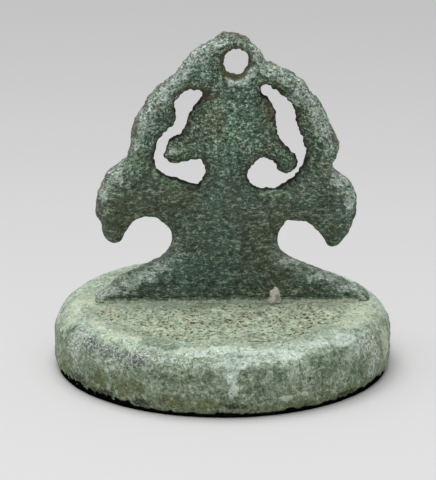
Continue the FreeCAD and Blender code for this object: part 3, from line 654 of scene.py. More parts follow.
def grain_group(name):
    """Corrosion grains of many sizes: a share from pit to grain, and a height."""
    inputs = {"Vector": "Vector", "Size": "Float", "Bite": "Float"}
    tree, wires, given, out = new_group(name, inputs, {"Grain": "Float", "Height": "Float"})
    height = wires.noise(given["Vector"], given["Size"], detail=3.0, roughness=1.0, finer=1.65)
    wires.feed(out["Grain"], wires.plus(wires.swing(height, given["Bite"]), 0.5, clamp=True))
    wires.feed(out["Height"], height)
    return tree


def patina_group(name):
    """A three-step colour, from pit over surface to grain."""
    inputs = {"Grain": "Float", "Pit": "Color", "Surface": "Color", "Fleck": "Color"}
    tree, wires, given, out = new_group(name, inputs, {"Color": "Color"})
    low = wires.mix(wires.span(given["Grain"], 0.0, 0.5), given["Pit"], given["Surface"])
    wires.feed(out["Color"], wires.mix(wires.span(given["Grain"], 0.5, 1.0), low, given["Fleck"]))
    return tree


def patch_group(name):
    """A patch round a middle: 1 inside, 0 outside, its edge pushed in and out by a field."""
    inputs = {"Vector": "Vector", "Middle": "Vector", "Reach": "Vector", "Push": "Float", "Soft": "Float"}
    tree, wires, given, out = new_group(name, inputs, {"Mask": "Float"})
    away = wires.vectors("SUBTRACT", given["Vector"], given["Middle"])
    shares = wires.vectors("DIVIDE", away, given["Reach"])
    length = wires.add("ShaderNodeVectorMath", {0: shares}, operation="LENGTH").outputs["Value"]
    reach = wires.plus(length, given["Push"])
    start, end = (wires.maths(operation, 0.9, given["Soft"]) for operation in ("SUBTRACT", "ADD"))
    wires.feed(out["Mask"], wires.inverse(wires.span(reach, start, end)))
    return tree


def fleck_group(name):
    """Sparse flecks or pits: 1 on a fleck, 0 elsewhere."""
    inputs = {"Vector": "Vector", "Size": "Float", "Share": "Float"}
    tree, wires, given, out = new_group(name, inputs, {"Mask": "Float"})
    field = wires.noise(given["Vector"], given["Size"], detail=1.0, roughness=0.5)
    edge = wires.maths("SUBTRACT", 0.78, given["Share"])
    wires.feed(out["Mask"], wires.span(field, edge, wires.plus(edge, 0.06)))
    return tree


GROUP_MAKERS = {
    "Corrosion grain": grain_group,
    "Patina colour": patina_group,
    "Ragged patch": patch_group,
    "Flecks": fleck_group,
}


def corrosion(wires, place, size, bite):
    """Corrosion grains over a surface: their share from pit to grain, and their height."""
    return wires.group("Corrosion grain", {"Vector": place, "Size": size, "Bite": bite})


def patina(wires, grain, shade):
    """The three-step colour named by a shade, at one grain."""
    steps = {"Pit": f"{shade}_dark", "Surface": shade, "Fleck": f"{shade}_light"}
    picked = {step: (*getattr(colours(), colour), 1.0) for step, colour in steps.items()}
    return wires.group("Patina colour", {"Grain": grain, **picked})["Color"]


def flecks(wires, place, name):
    """A mask of the named sparse flecks."""
    size, share = FLECKS[name]
    return wires.group("Flecks", {"Vector": place, "Size": size, "Share": share})["Mask"]


def patches_mask(wires, place, patches, push, soft=0.35):
    """Many ragged patches as one mask."""
    total = 0.0
    for middle, reach in patches:
        inputs = {"Vector": place, "Middle": middle, "Reach": reach, "Push": push, "Soft": soft}
        total = wires.most(total, wires.group("Ragged patch", inputs)["Mask"])
    return total


def grip_patches(shade):
    """The grip's patches of one shade: middles and half-sizes in metres."""
    for across, up, half_width, half_height in GRIP_PATCH_SHARES[shade]:
        middle = (across * GRIP_REACH, GRIP_LOW.y, SEAL_TOP + up * GRIP_RISE)
        yield middle, (half_width * GRIP_REACH, GRIP_RISE, half_height * GRIP_RISE)


def seal_patches(shade):
    """The seal's patches of one shade: middles and half-sizes in metres."""
    for patch in SEAL_PATCHES[shade]:
        lengths = tuple(length * MM for length in patch)
        yield lengths[:3], lengths[3:]


def new_material(name):
    """A material with its shader and the object's own coordinates."""
    material = bpy.data.materials.new(name)
    material.use_nodes = True
    wires = Wiring(material.node_tree)
    place = wires.add("ShaderNodeTexCoord").outputs["Object"]
    return material, wires, material.node_tree.nodes["Principled BSDF"], place


def corroded(wires, shader, place, size, bite, height):
    """Raise corrosion grains on a surface, and give their share from pit to grain."""
    grain = corrosion(wires, place, size, bite)
    bump = wires.add("ShaderNodeBump", {"Height": grain["Height"], "Distance": height})
    wires.feed(shader.inputs["Normal"], bump.outputs["Normal"])
    return grain["Grain"]


def finish(wires, shader, colour, roughness):
    """Give a shader its colour and roughness."""
    wires.feed(shader.inputs["Base Color"], colour)
    wires.feed(shader.inputs["Roughness"], roughness)


def grip_material():
    """The grip: green patina with coarser grains above, dirt and painted shade round its openings, and its
    pale edges with a painted highlight on those that face up.
    """
    material, wires, shader, place = new_material("grip_patina")
    upper = wires.span(wires.axis(place, "Z"), *BANDS["grip_upper"])
    size, bite, height = GRAINS["grip"]
    bite = wires.plus(wires.times(upper, 0.9), bite)
    height = wires.plus(wires.times(upper, UPPER_BUMP), height)
    across = wires.plus(wires.times(upper, 0.26), 0.64)
    stretch = wires.add("ShaderNodeCombineXYZ", {"X": across, "Y": 1.0, "Z": 1.12}).outputs[0]
    share = corroded(wires, shader, wires.vectors("MULTIPLY", place, stretch), size, bite, height)
    push = wires.swing(wires.field(place, "grip_push"), 3.4)
    colour = grip_ground(wires, place, share, upper, push)
    colour = grip_recesses(wires, colour)
    colour = grip_edges(wires, place, colour, share, push)
    finish(wires, shader, colour, wires.swing(share, 0.25, 0.68))
    return material


def grip_ground(wires, place, share, upper, push):
    """The grip's green patina with teal and brown patches, lighter on its upper half."""
    colour = patina(wires, share, "green")
    drift = wires.field(place, "grip_drift")
    for shade, low, high, wild in (("teal", 0.52, 0.64, 0.35), ("brown", 0.48, 0.38, 0.40)):
        placed = wires.times(patches_mask(wires, place, grip_patches(shade), push), 0.6)
        strength = wires.most(placed, wires.times(wires.span(drift, low, high), wild))
        colour = wires.mix(strength, colour, patina(wires, share, shade))
    lumps = wires.swing(wires.field(place, "lumps"), 1.10, 1.12)
    broad = wires.swing(wires.field(place, "grip_broad"), 0.70, 1.0)
    light = wires.plus(wires.times(upper, 0.79), 1.05)
    return wires.toned(colour, wires.times(wires.times(lumps, broad), light))


def grip_recesses(wires, colour):
    """Painted shade next to the openings, dirt and painted shade on their rims, painted shade on the walls
    with grey ash where outer walls face up, and the red-brown eye.
    """
    palette = colours()
    edge, up, outer, wall, eye = (wires.mask(name) for name in ("edge", "up", "outer", "wall", "eye"))
    upward = wires.span(up, 0.0, 0.6)
    # Painted shade on the face next to the openings' inner edges
    inner_shade = wires.times(edge, wires.inverse(outer), 0.18, wires.inverse(eye))
    colour = wires.toned(colour, wires.inverse(inner_shade))
    # Dirt and painted shade on the openings' rims where they do not face up
    dirty_edge = wires.times(wires.span(edge, 0.84, 1.00), wires.inverse(wires.most(outer, upward)), 0.55)
    colour = wires.mix(dirty_edge, colour, wires.mix(0.3, palette.deep, palette.rust))
    # Painted shade: near-black on walls that face down and inside the openings; outer walls that face up get
    # grey ash
    dirt = wires.mix(wires.times(wires.span(up, -0.6, 0.1), outer), palette.deep, palette.ash)
    covered = wires.maths("SUBTRACT", 0.94, wires.times(upward, outer, 0.40))
    colour = wires.mix(wires.times(wall, covered), colour, dirt)
    ring = wires.times(eye, wires.plus(wires.times(wall, 0.3), 0.65))
    return wires.mix(ring, colour, wires.mix(upward, palette.rust, palette.olive_light))


def grip_edges(wires, place, colour, share, push):
    """Pale corrosion along the edges with a painted highlight on the outer edges that face up, light green,
    rust and ash patches, and the eye's white lip.
    """
    edge, up, outer, wall, lip = (wires.mask(name) for name in ("edge", "up", "outer", "wall", "lip"))
    torn = wires.field(place, "grip_torn")
    ridge = wires.plus(edge, wires.swing(wires.field(place, "ragged_line"), 0.7))
    # Painted highlight: outer edges that face up are coloured pale as if lit from above
    painted_highlight = wires.times(wires.span(ridge, 0.40, 0.66), outer, wires.span(up, -0.3, 0.7), 0.34)
    # pale holds both the painted highlight and the placed pale corrosion patches
    pale = wires.plus(painted_highlight, patches_mask(wires, place, grip_patches("pale"), push, soft=0.12), clamp=True)
    pale = wires.times(pale, wires.span(torn, 0.22, 0.48), wires.inverse(wires.times(wall, 0.7)), 0.95)
    colour = wires.mix(pale, colour, patina(wires, share, "pale"))
    minty = patches_mask(wires, place, grip_patches("mint"), push)
    minty = wires.times(minty, wires.span(torn, 0.30, 0.50), wires.inverse(wall))
    colour = wires.mix(minty, colour, patina(wires, share, "mint"))
    for shade, strength, gain, middle in (("rust", 0.55, 1.0, 0.80), ("ash", 0.80, 1.1, 0.95)):
        mask = wires.times(patches_mask(wires, place, grip_patches(shade), push), strength)
        tone = wires.swing(share, gain, middle)
        colour = wires.mix(mask, colour, wires.toned(getattr(colours(), shade), tone))
    white = wires.toned(patina(wires, share, "milk"), wires.swing(share, 0.5, 1.15))
    return wires.mix(wires.times(lip, wires.span(torn, 0.20, 0.38)), colour, white)


def seal_material():
    """The round seal: its ground colours, its pale and grey patches, smudges of dirt low on it, and painted
    shadow round its foot.
    """
    material, wires, shader, place = new_material("seal_patina")
    share = corroded(wires, shader, place, *GRAINS["seal"])
    push = wires.swing(wires.field(place, "seal_push"), 2.8)
    colour = seal_ground(wires, place, share, push)
    colour = seal_spots(wires, place, colour, share, push)
    smudge = patches_mask(wires, place, seal_patches("smudge"), push, soft=0.18)
    smudge = wires.times(smudge, wires.span(wires.field(place, "smudge"), 0.38, 0.52), 0.8)
    # Dirt smudges low on the side, joined with the painted shadow in the step under the rim and in the low
    # patches
    dirty = wires.most(smudge, wires.mask("dirt"))
    colour = wires.mix(dirty, colour, wires.toned(colours().deep, 0.3))
    finish(wires, shader, colour, wires.swing(share, 0.25, 0.68))
    shader.inputs["Specular IOR Level"].default_value = 0.4
    return material


def seal_ground(wires, place, share, push):
    """The grey-green side, olive below, the top, the bloom that drips from the shoulder, and moss."""
    height = wires.axis(place, "Z")
    drift = wires.field(place, "seal_drift")
    low = wires.inverse(wires.span(wires.plus(height, wires.swing(drift, SIDE_DRIFT)), *BANDS["side"]))
    olive = wires.most(wires.times(low, 0.6), patches_mask(wires, place, seal_patches("olive"), push))
    colour = wires.mix(olive, patina(wires, share, "side"), patina(wires, share, "olive"))
    flat = wires.mask("flat")
    colour = wires.mix(flat, colour, patina(wires, share, "top"))
    ragged = wires.plus(height, wires.swing(drift, BLOOM_DRIFT))
    bloom = wires.times(wires.span(ragged, *BANDS["bloom"]), wires.inverse(wires.times(flat, 0.75)))
    fall = wires.vectors("MULTIPLY", place, (1.0, 1.0, 0.32))
    drips = wires.span(wires.field(fall, "drips"), 0.52, 0.66)
    drips = wires.times(drips, wires.span(height, *BANDS["drips"]), 0.75)
    bloom = wires.times(wires.most(bloom, drips), 0.9)
    colour = wires.mix(bloom, colour, patina(wires, share, "bloom"))
    wild = wires.times(wires.span(wires.field(place, "moss"), 0.55, 0.64), 0.55)
    placed = wires.times(patches_mask(wires, place, seal_patches("moss"), push), 0.85)
    moss = wires.most(wild, placed)
    colour = wires.mix(wires.times(moss, 0.6), colour, patina(wires, share, "mint"))
    return wires.toned(colour, wires.swing(moss, -0.30, 0.85))


def seal_spots(wires, place, colour, share, push):
    """White, grey and cream patches, pits, soil in the cut design, and slow changes of tone."""
    palette = colours()
    crisp = corrosion(wires, place, *CRISP_GRAINS)["Grain"]
    for shade, amount, grain in (("frost", 0.85, crisp), ("slate", 0.75, crisp), ("milk", 0.90, share)):
        mask = patches_mask(wires, place, seal_patches(shade), push, soft=0.18)
        colour = wires.mix(wires.times(mask, amount), colour, patina(wires, grain, shade))
    cream = patches_mask(wires, place, seal_patches("cream"), push, soft=0.18)
    cream = wires.times(cream, wires.span(wires.field(place, "cream"), 0.34, 0.50), 0.85)
    cream = wires.most(cream, wires.times(flecks(wires, place, "cream"), 0.4))
    colour = wires.mix(cream, colour, wires.toned(palette.cream, wires.swing(share, 0.3, 0.98)))
    colour = wires.mix(wires.times(flecks(wires, place, "pits"), 0.6), colour, palette.side_dark)
    colour = wires.mix(wires.times(wires.mask("cut"), 0.6), colour, palette.soil_dark)
    broad = wires.swing(wires.field(place, "seal_broad"), 0.55, 1.0)
    lumps = wires.swing(wires.field(place, "lumps"), 0.50, 1.0)
    return wires.toned(colour, wires.times(broad, lumps))


def dirt_material():
    """Painted shadow: near-black colour in the step under the seal's rim and low on its side, for the shade
    in the gap under the seal.
    """
    material, wires, shader, place = new_material("rim_dirt")
    share = corroded(wires, shader, place, *GRAINS["dirt"])
    finish(wires, shader, wires.toned(colours().deep, wires.swing(share, 0.8, 0.6)), 0.95)
    # No specular, so the painted shadow stays near-black
    shader.inputs["Specular IOR Level"].default_value = 0.0
    return material


def solder_material():
    """The solder: dark green against the grip, and paler where it thins out on the seal."""
    material, wires, shader, place = new_material("solder_patina")
    share = corroded(wires, shader, place, *GRAINS["solder"])
    ragged = wires.swing(wires.field(place, "ragged_line"), SOLDER_DRIFT)
    high = wires.span(wires.plus(wires.axis(place, "Z"), ragged), *BANDS["solder_green"])
    stained = wires.times(wires.span(wires.axis(place, "X"), *BANDS["stain"]), 0.5, share)
    thin = wires.mix(stained, patina(wires, share, "top"), colours().clay)
    finish(wires, shader, wires.mix(high, thin, patina(wires, share, "green")), 0.75)
    return material


def crust_material():
    """The soil crust: beige and green grains, dark pores and pale flakes."""
    material, wires, shader, place = new_material("soil_crust")
    palette = colours()
    share = corroded(wires, shader, place, *GRAINS["crust"])
    drift = wires.field(place, "crust_drift")
    clay = wires.times(wires.span(drift, 0.46, 0.60), 0.45)
    brown = wires.toned(palette.clay, wires.swing(share, 0.7, 1.0))
    colour = wires.mix(clay, patina(wires, share, "soil"), brown)
    stain = wires.times(wires.span(wires.field(place, "crust_stain"), 0.50, 0.60), 0.6)
    colour = wires.mix(stain, colour, patina(wires, share, "side"))
    rim = wires.mask("rim")
    colour = wires.mix(wires.times(rim, 0.6), colour, patina(wires, share, "top"))
    dotted = wires.times(wires.span(drift, 0.40, 0.60), wires.inverse(wires.times(rim, 0.2)))
    colour = wires.mix(wires.times(flecks(wires, place, "pores"), dotted), colour, palette.soil_dark)
    lumps = wires.swing(wires.field(place, "lumps"), 0.70, 0.99)
    broad = wires.swing(wires.field(place, "crust_broad"), 0.40, 1.0)
    colour = wires.toned(colour, wires.times(lumps, broad))
    flakes = patches_mask(wires, place, seal_patches("flake"), 0.0, soft=0.3)
    flakes = wires.times(flakes, wires.span(drift, 0.30, 0.45), 0.8)
    finish(wires, shader, wires.mix(flakes, colour, palette.lime_dark), 0.92)
    return material


def lime_material():
    """The pale nodule."""
    material, wires, shader, place = new_material("lime_nodule")
    share = corroded(wires, shader, place, *GRAINS["nodule"])
    finish(wires, shader, wires.mix(share, colours().lime_dark, colours().lime), 0.9)
    return material


def face_cut(radius, angle):
    """How deep the design is cut at a place on the sealing face."""
    given = sizes()
    depth = given.cut_depth
    border = depth * np.clip(1 - np.abs(radius - given.border_radius) / (given.border_width / 2), 0, 1)
    step = 2 * math.pi / given.petal_count
    turn = np.mod(angle + step / 2, step) - step / 2
    along, across = radius * np.cos(turn), np.abs(radius * np.sin(turn))
    middle = (given.petal_root + given.petal_tip) / 2
    half_length, half_width = (given.petal_tip - given.petal_root) / 2, given.petal_width / 2
    bend = (half_length ** 2 + half_width ** 2) / (2 * half_width)
    inside = bend - np.hypot(along - middle, across + bend - half_width)
    petal = np.clip(inside, 0, depth)
    dot_turn = np.mod(angle, step) - step / 2
    dot_away = np.hypot(radius * np.cos(dot_turn) - given.dot_circle, radius * np.sin(dot_turn))
    dot = depth * np.sqrt(np.clip(1 - (dot_away / given.dot_radius) ** 2, 0, 1))
    core_middle = (given.core_radius + given.core_boss) / 2
    core_half = (given.core_radius - given.core_boss) / 2
    core = depth * np.clip(1.3 - 1.3 * np.abs(radius - core_middle) / core_half, 0, 1)
    return np.maximum.reduce([border, petal, dot, core])


def run(start, end, step):
    """Shares of the way from just after one length to another, in even steps."""
    count = max(round(abs(end - start) / step), 1)
    return [number / count for number in range(1, count + 1)]


def seal_profile():
    """The seal's half section from the face's middle to the top's: radius and height of each ring."""
    given = sizes()
    rim, lift, widest = given.rim_radius, given.rim_lift, given.widest_height
    rings = [(given.face_radius * share, 0.0) for share in run(0, given.face_radius, given.face_step)]
    rings += [(given.face_radius, lift * share) for share in run(0, lift, given.side_step)]
    rings.append((rim, lift))
    inset, climb = SEAL_RADIUS - rim, widest - lift
    heel = (climb ** 2 + inset ** 2) / (2 * inset)
    start = math.asin(climb / heel)
    for share in run(0, climb, given.side_step):
        angle = start * (1 - share)
        rings.append((SEAL_RADIUS - heel + heel * math.cos(angle), widest - heel * math.sin(angle)))
    shoulder = given.shoulder_radius
    side_top, flat = SEAL_TOP - shoulder, SEAL_RADIUS - shoulder
    for share in run(widest, side_top, given.side_step):
        rings.append((SEAL_RADIUS, widest + (side_top - widest) * share))
    for share in run(0, shoulder * math.pi / 2, given.side_step):
        angle = math.pi / 2 * share
        rings.append((flat + shoulder * math.cos(angle), side_top + shoulder * math.sin(angle)))
    rings += [(flat * (1 - share), SEAL_TOP) for share in run(0, flat, given.top_step)[:-1]]
    return rings


def seal_mesh():
    """The seal's surface on rings and spokes, with the design cut in its face."""
    rings = seal_profile()
    spokes = sizes().spokes
    angles = np.arange(spokes) * 2 * math.pi / spokes
    points, cuts = [], []
    for radius, height in rings:
        ring = np.stack([radius * np.cos(angles), radius * np.sin(angles), np.full(spokes, height)], 1)
        cut = face_cut(np.full(spokes, radius), angles) if height == 0.0 else np.zeros(spokes)
        ring[:, 2] += cut
        points.append(ring)
        cuts.append(cut)
    points = np.concatenate(points + [np.array([[0, 0, 0.0], [0, 0, SEAL_TOP]])])
    bottom, top = len(rings) * spokes, len(rings) * spokes + 1
    last = bottom - spokes
    faces = []
    for low in range(0, last, spokes):
        for spoke in range(spokes):
            after = (spoke + 1) % spokes
            faces.append((low + spoke, low + after, low + spokes + after, low + spokes + spoke))
    for spoke in range(spokes):
        after = (spoke + 1) % spokes
        faces.append((bottom, after, spoke))
        faces.append((last + spoke, last + after, top))
    mesh = mesh_from("seal_disc_bronze", points, faces)
    keep_seal_masks(mesh, points, np.concatenate(cuts + [np.zeros(2)]))
    return mesh


def keep_seal_masks(mesh, points, cuts):
    """The masks that the seal's patina reads: its flat top, the painted shadow under its rim and low on it,
    the cut design.
    """
    given = sizes()
    radius, height = np.hypot(points[:, 0], points[:, 1]), points[:, 2]
    flat = past(SEAL_RADIUS - radius, "flat_top") * (height > SEAL_TOP / 2)
    # Painted shadow: the step under the rim, and the low patches beside it, are coloured near-black for the
    # shade under the seal
    dirt = ((height <= given.rim_lift * 1.01) & (radius >= given.face_radius * 0.999)).astype(float)
    push = skin(points, "seal_low_shadow_edge")
    for middle, reach in seal_patches("painted_low_shadow"):
        away = np.linalg.norm((points - middle) / reach, axis=1)
        dirt = np.maximum(dirt, 1 - smooth(away + push, 0.60, 1.05))
    keep_masks(mesh, flat=flat, dirt=dirt, cut=cuts / given.cut_depth)


def corrode_seal(mesh):
    """Put the seal out of round, and wear, pit and chip its skin."""
    given = sizes()
    points, normals = points_and_normals(mesh)
    radius, height = np.hypot(points[:, 0], points[:, 1]), points[:, 2]
    angle = np.arctan2(points[:, 1], points[:, 0])
    out = np.stack([np.cos(angle), np.sin(angle), np.zeros(len(angle))], 1)
    sway = past(radius, "sway") * sum(size * np.cos(times * angle + start) for size, times, start in SWAYS)
    worn = skin(points, "seal") * (0.30 + 0.70 * smooth(height, given.rim_lift, given.widest_height))
    chips = smooth(skin(points * (1, 1, 0.4), "seal_chips"), 0.0, 0.9)
    chips *= smooth(radius, given.face_radius, given.rim_radius)
    chips *= 1 - smooth(height, given.rim_lift, CHIP_TOP)
    points = points + out * (sway - chips * CHIP_BITE)[:, None] + normals * worn[:, None]
    points[:, 2] = np.maximum(points[:, 2] + chips * CHIP_LIFT, 0.0)
    move_points(mesh, points)


def give_second_finish(piece, mask, material):
    """Give a piece's faces under a mask a finish of their own."""
    mesh = piece.data
    values = np.empty(len(mesh.vertices), np.float32)
    mesh.attributes[mask].data.foreach_get("value", values)
    mesh.materials.append(material)
    for face in mesh.polygons:
        if values[list(face.vertices)].mean() > 0.5:
            face.material_index = 1


def grip_shares(points):
    """Places on the grip as shares: how far across and how far up each point is."""
    return points[:, 0] / GRIP_REACH, (points[:, 2] - SEAL_TOP) / GRIP_RISE


def grip_walls(points, normals):
    """The grip's side walls, outside and round its openings: a search tree and how far up each faces."""
    side_on = np.abs(points[:, 1] - GRIP_MIDDLE) < GRIP_HALF * 0.22
    across, up = grip_shares(points)
    by_opening = np.hypot(points[:, 0] - EYE_ACROSS, points[:, 2] - EYE_HEIGHT) < EYE_WALL
    for half_width, low, high in WINDOW_SHARES:
        by_opening |= (np.abs(across) < half_width) & (up > low) & (up < high)
    outward = points[:, 0] * normals[:, 0] + (points[:, 2] - SEAL_TOP - 0.6 * GRIP_RISE) * normals[:, 2]
    outside = (outward > 0) & ~by_opening | (up < 0.38)
    trees = []
    for chosen in (side_on & outside, side_on & ~outside):
        wall = np.flatnonzero(chosen)
        tree = kdtree.KDTree(len(wall))
        for number, vertex in enumerate(wall):
            tree.insert((points[vertex, 0], 0.0, points[vertex, 2]), number)
        tree.balance()
        trees.append((tree, normals[wall, 2]))
    return trees


def nearest_wall(points, tree, facing):
    """For each point, how far a wall is and how far up that wall faces."""
    away, up = np.empty(len(points)), np.empty(len(points))
    for number, (across, _, height) in enumerate(points):
        _, found, away[number] = tree.find((across, 0.0, height))
        up[number] = facing[found]
    return away, up


def shape_grip(mesh):
    """Round and model the grip, keep the masks that its patina reads, and tell what lies by an opening."""
    given = sizes()
    points, normals = points_and_normals(mesh)
    outer_wall, inner_wall = grip_walls(points, normals)
    outer_away, outer_facing = nearest_wall(points, *outer_wall)
    inner_away, inner_facing = nearest_wall(points, *inner_wall)
    away = np.minimum(outer_away, inner_away)
    outer_first = outer_away < inner_away
    depth = points[:, 1] - GRIP_MIDDLE
    across, up = grip_shares(points)
    above_foot = past(points[:, 2], "grip_shape")
    from_eye = np.hypot(points[:, 0] - EYE_ACROSS, points[:, 2] - EYE_HEIGHT)
    fall = given.edge_drop * np.clip(1 - away / given.edge_width, 0, 1) ** 2 * above_foot
    fall *= 0.35 + 0.65 * past(from_eye, "eye_round")
    rise = np.zeros(len(points))
    for middle_x, middle_z, half_x, half_z, height in GRIP_FORMS.values():
        reach = np.hypot((across - middle_x) / half_x, (up - middle_z) / half_z)
        rise += height * (1 - smooth(reach, 0.2, 1.2))
    ridge = past(outer_away, "ridge_rise") * (1 - past(outer_away, "ridge_fall"))
    rise += RIDGE_LIFT * ridge * smooth(up, 0.52, 0.60)
    face = np.sign(depth) * smooth(np.abs(depth), GRIP_HALF * 0.3, GRIP_HALF * 0.8)
    points[:, 1] = GRIP_MIDDLE + depth * (1 - fall) + face * rise * above_foot
    share = np.abs(depth) / GRIP_HALF
    limit = np.where(outer_first, 0.42, 0.58 + 0.07 * smooth(inner_facing, 0.0, 0.6))
    wall = 1 - smooth(share + skin(points, "grip_walls"), limit, limit + np.where(outer_first, 0.38, 0.24))
    lip = smooth(inner_facing, -0.1, 0.4) * (1 - past(inner_away, "lip")) * smooth(share, 0.35, 0.60)
    lip *= (from_eye < LIP_REACH) * smooth(across, 0.00, 0.05) * past(from_eye, "eye_lip")
    keep_masks(
        mesh, lip=lip, eye=1 - past(from_eye, "eye_ring"),
        edge=1 - smooth(away, 0.0, given.edge_width), outer=outer_first.astype(float),
        up=np.where(outer_first, outer_facing, inner_facing),
        wall=wall * (0.25 + 0.75 * smooth(up, 0.10, 0.22)))
    pull = 1 - past(from_eye, "eye_pull")
    points[:, 0] -= (points[:, 0] - EYE_ACROSS) * 0.07 * pull
    points[:, 2] += (points[:, 2] - EYE_HEIGHT) * 0.15 * pull
    for middle_x, middle_z, size, height in GRIP_KNOBS.values():
        near = np.hypot(points[:, 0] - middle_x * GRIP_REACH, points[:, 2] - SEAL_TOP - middle_z * GRIP_RISE)
        points += normals * (height * np.exp(-(near / size) ** 2))[:, None]
    move_points(mesh, points)
    return 1 - past(inner_away, "opening_skin")


def corrode_grip(mesh, by_opening):
    """Wear, lumps and grains on the grip's skin, roughest round its openings."""
    points, normals = points_and_normals(mesh)
    rough = 0.7 + 0.6 * past(points[:, 2], "grip_upper")
    worn = skin(points, "grip") + rough * skin(points, "grip_grains")
    worn += by_opening * skin(points, "grip_openings")
    move_points(mesh, points + normals * (worn * past(points[:, 2], "grip_skin"))[:, None])


def crust_outline():
    """The crust's outline in order, from the walls of its CAD solid."""
    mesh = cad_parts["soil_crust"].data
    rim = {vertex for polygon in mesh.polygons if abs(polygon.normal.z) < 0.5 for vertex in polygon.vertices}
    points = rows(mesh.vertices, "co")[sorted(rim)][:, :2]
    middle = points.mean(axis=0)
    return points[np.argsort(np.arctan2(points[:, 1] - middle[1], points[:, 0] - middle[0]))]


def inside_outline(across, along, outline):
    """Which points lie inside a closed outline, by counting the edges passed."""
    inside = np.zeros(len(across), bool)
    for (x_one, y_one), (x_two, y_two) in zip(outline, np.roll(outline, -1, axis=0)):
        if y_one == y_two:
            continue
        crosses = (y_one > along) != (y_two > along)
        at = (x_two - x_one) * (along - y_one) / (y_two - y_one) + x_one
        inside ^= crosses & (across < at)
    return inside


def crust_mesh():
    """A granular patch of soil over the crust's outline, torn and feathered out at its edge."""
    step = sizes().crust_step
    outline = crust_outline()
    tree = kdtree.KDTree(len(outline))
    for number, (across, along) in enumerate(outline):
        tree.insert((across, along, 0.0), number)
    tree.balance()
    lines = (np.arange(low, high, step) for low, high in zip(CRUST_LOW[:2], CRUST_HIGH[:2]))
    grid_x, grid_y = np.meshgrid(*lines, indexing="ij")
    inside = inside_outline(grid_x.ravel(), grid_y.ravel(), outline)
    places = np.stack([grid_x.ravel(), grid_y.ravel(), np.full(grid_x.size, SEAL_TOP)], 1)
    away = np.zeros(len(places))
    for number in np.flatnonzero(inside):
        away[number] = tree.find((places[number, 0], places[number, 1], 0.0))[2]
    torn = away + skin(places, "crust_edge")
    lumps = 0.5 + skin(places, "crust_lumps")
    crumbs = np.maximum(skin(places, "crust_crumbs"), -0.4)
    rise = past(torn, "crust_rise") * (0.20 + 0.60 * lumps + 0.45 * crumbs)
    top = SEAL_TOP + rise * (CRUST_HIGH.z - CRUST_LOW.z)
    mesh = patch_solid("soil_crust_grains", places, top, inside & (torn > CRUST_EDGE), grid_x.shape)
    rim = 1 - past(torn, "crust_rim")
    keep_masks(mesh, rim=np.concatenate([rim, rim]))
    drop_loose(mesh)
    return mesh


def patch_solid(name, places, top, kept, shape):
    """A closed solid under a height field, over the kept cells of a grid."""
    cells = kept.reshape(shape)
    cell_kept = cells[:-1, :-1] & cells[1:, :-1] & cells[1:, 1:] & cells[:-1, 1:]
    count = len(places)
    upper, lower = places.copy(), places.copy()
    upper[:, 2] = top
    lower[:, 2] = SEAL_TOP - CRUST_SINK
    faces = []
    edges = {}
    for row, column in np.argwhere(cell_kept).tolist():
        first, beside = row * shape[1] + column, (row + 1) * shape[1] + column
        ring = (first, beside, beside + 1, first + 1)
        faces.append(ring)
        faces.append(tuple(corner + count for corner in reversed(ring)))
        for start, end in zip(ring, ring[1:] + ring[:1]):
            if (end, start) in edges:
                del edges[(end, start)]
            else:
                edges[(start, end)] = True
    for start, end in edges:
        faces.append((start, start + count, end + count, end))
    return mesh_from(name, np.concatenate([upper, lower]), faces)


def drop_loose(mesh):
    """Delete the vertices that carry no face."""
    work = bmesh.new()
    work.from_mesh(mesh)
    loose = [vertex for vertex in work.verts if not vertex.link_faces]
    bmesh.ops.delete(work, geom=loose, context="VERTS")
    work.to_mesh(mesh)
    work.free()


class SEAL_OT_seal_disc(bpy.types.Operator):
    """Build the round seal's corroded surface"""

    bl_idname = "seal.seal_disc"
    bl_label = "Seal disc"

    def execute(self, context):
        mesh = seal_mesh()
        corrode_seal(mesh)
        piece = add_piece("seal_disc_bronze", mesh, seal_material(), "seal_bronze", "seal_disc")
        # The step under the rim and the low patches get the near-black painted shadow
        give_second_finish(piece, "dirt", dirt_material())
        return {"FINISHED"}


class SEAL_OT_grip(bpy.types.Operator):
    """Build the pierced grip's worn surface"""

    bl_idname = "seal.grip"
    bl_label = "Pierced grip"

    def execute(self, context):
        mesh = remeshed("handle", sizes().grip_voxel, 2)
        corrode_grip(mesh, shape_grip(mesh))
        add_piece("handle_bronze", mesh, grip_material(), "handle_bronze", "handle")
        return {"FINISHED"}


class SEAL_OT_solder(bpy.types.Operator):
    """Build the bead of solder along the grip's foot"""

    bl_idname = "seal.solder"
    bl_label = "Solder"

    def execute(self, context):
        mesh = remeshed("solder_joint", sizes().solder_voxel, 3)
        points, normals = points_and_normals(mesh)
        points = points + normals * (skin(points, "solder") + SOLDER_SWELL)[:, None]
        low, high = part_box("solder_joint")
        bead = (high.y - low.y) / 2 - GRIP_HALF
        away = (np.abs(points[:, 1] - GRIP_MIDDLE) - GRIP_HALF) / bead
        points[:, 2] -= smooth(away, 0.45, 1.0) * np.maximum(points[:, 2] - SEAL_TOP + SOLDER_SINK, 0.0)
        move_points(mesh, points)
        add_piece("solder_bead", mesh, solder_material(), "solder", "solder_joint")
        return {"FINISHED"}


class SEAL_OT_crust(bpy.types.Operator):
    """Build the crust of soil on the seal's top"""

    bl_idname = "seal.crust"
    bl_label = "Soil crust"

    def execute(self, context):
        add_piece("soil_crust_grains", crust_mesh(), crust_material(), "soil", "soil_crust")
        return {"FINISHED"}


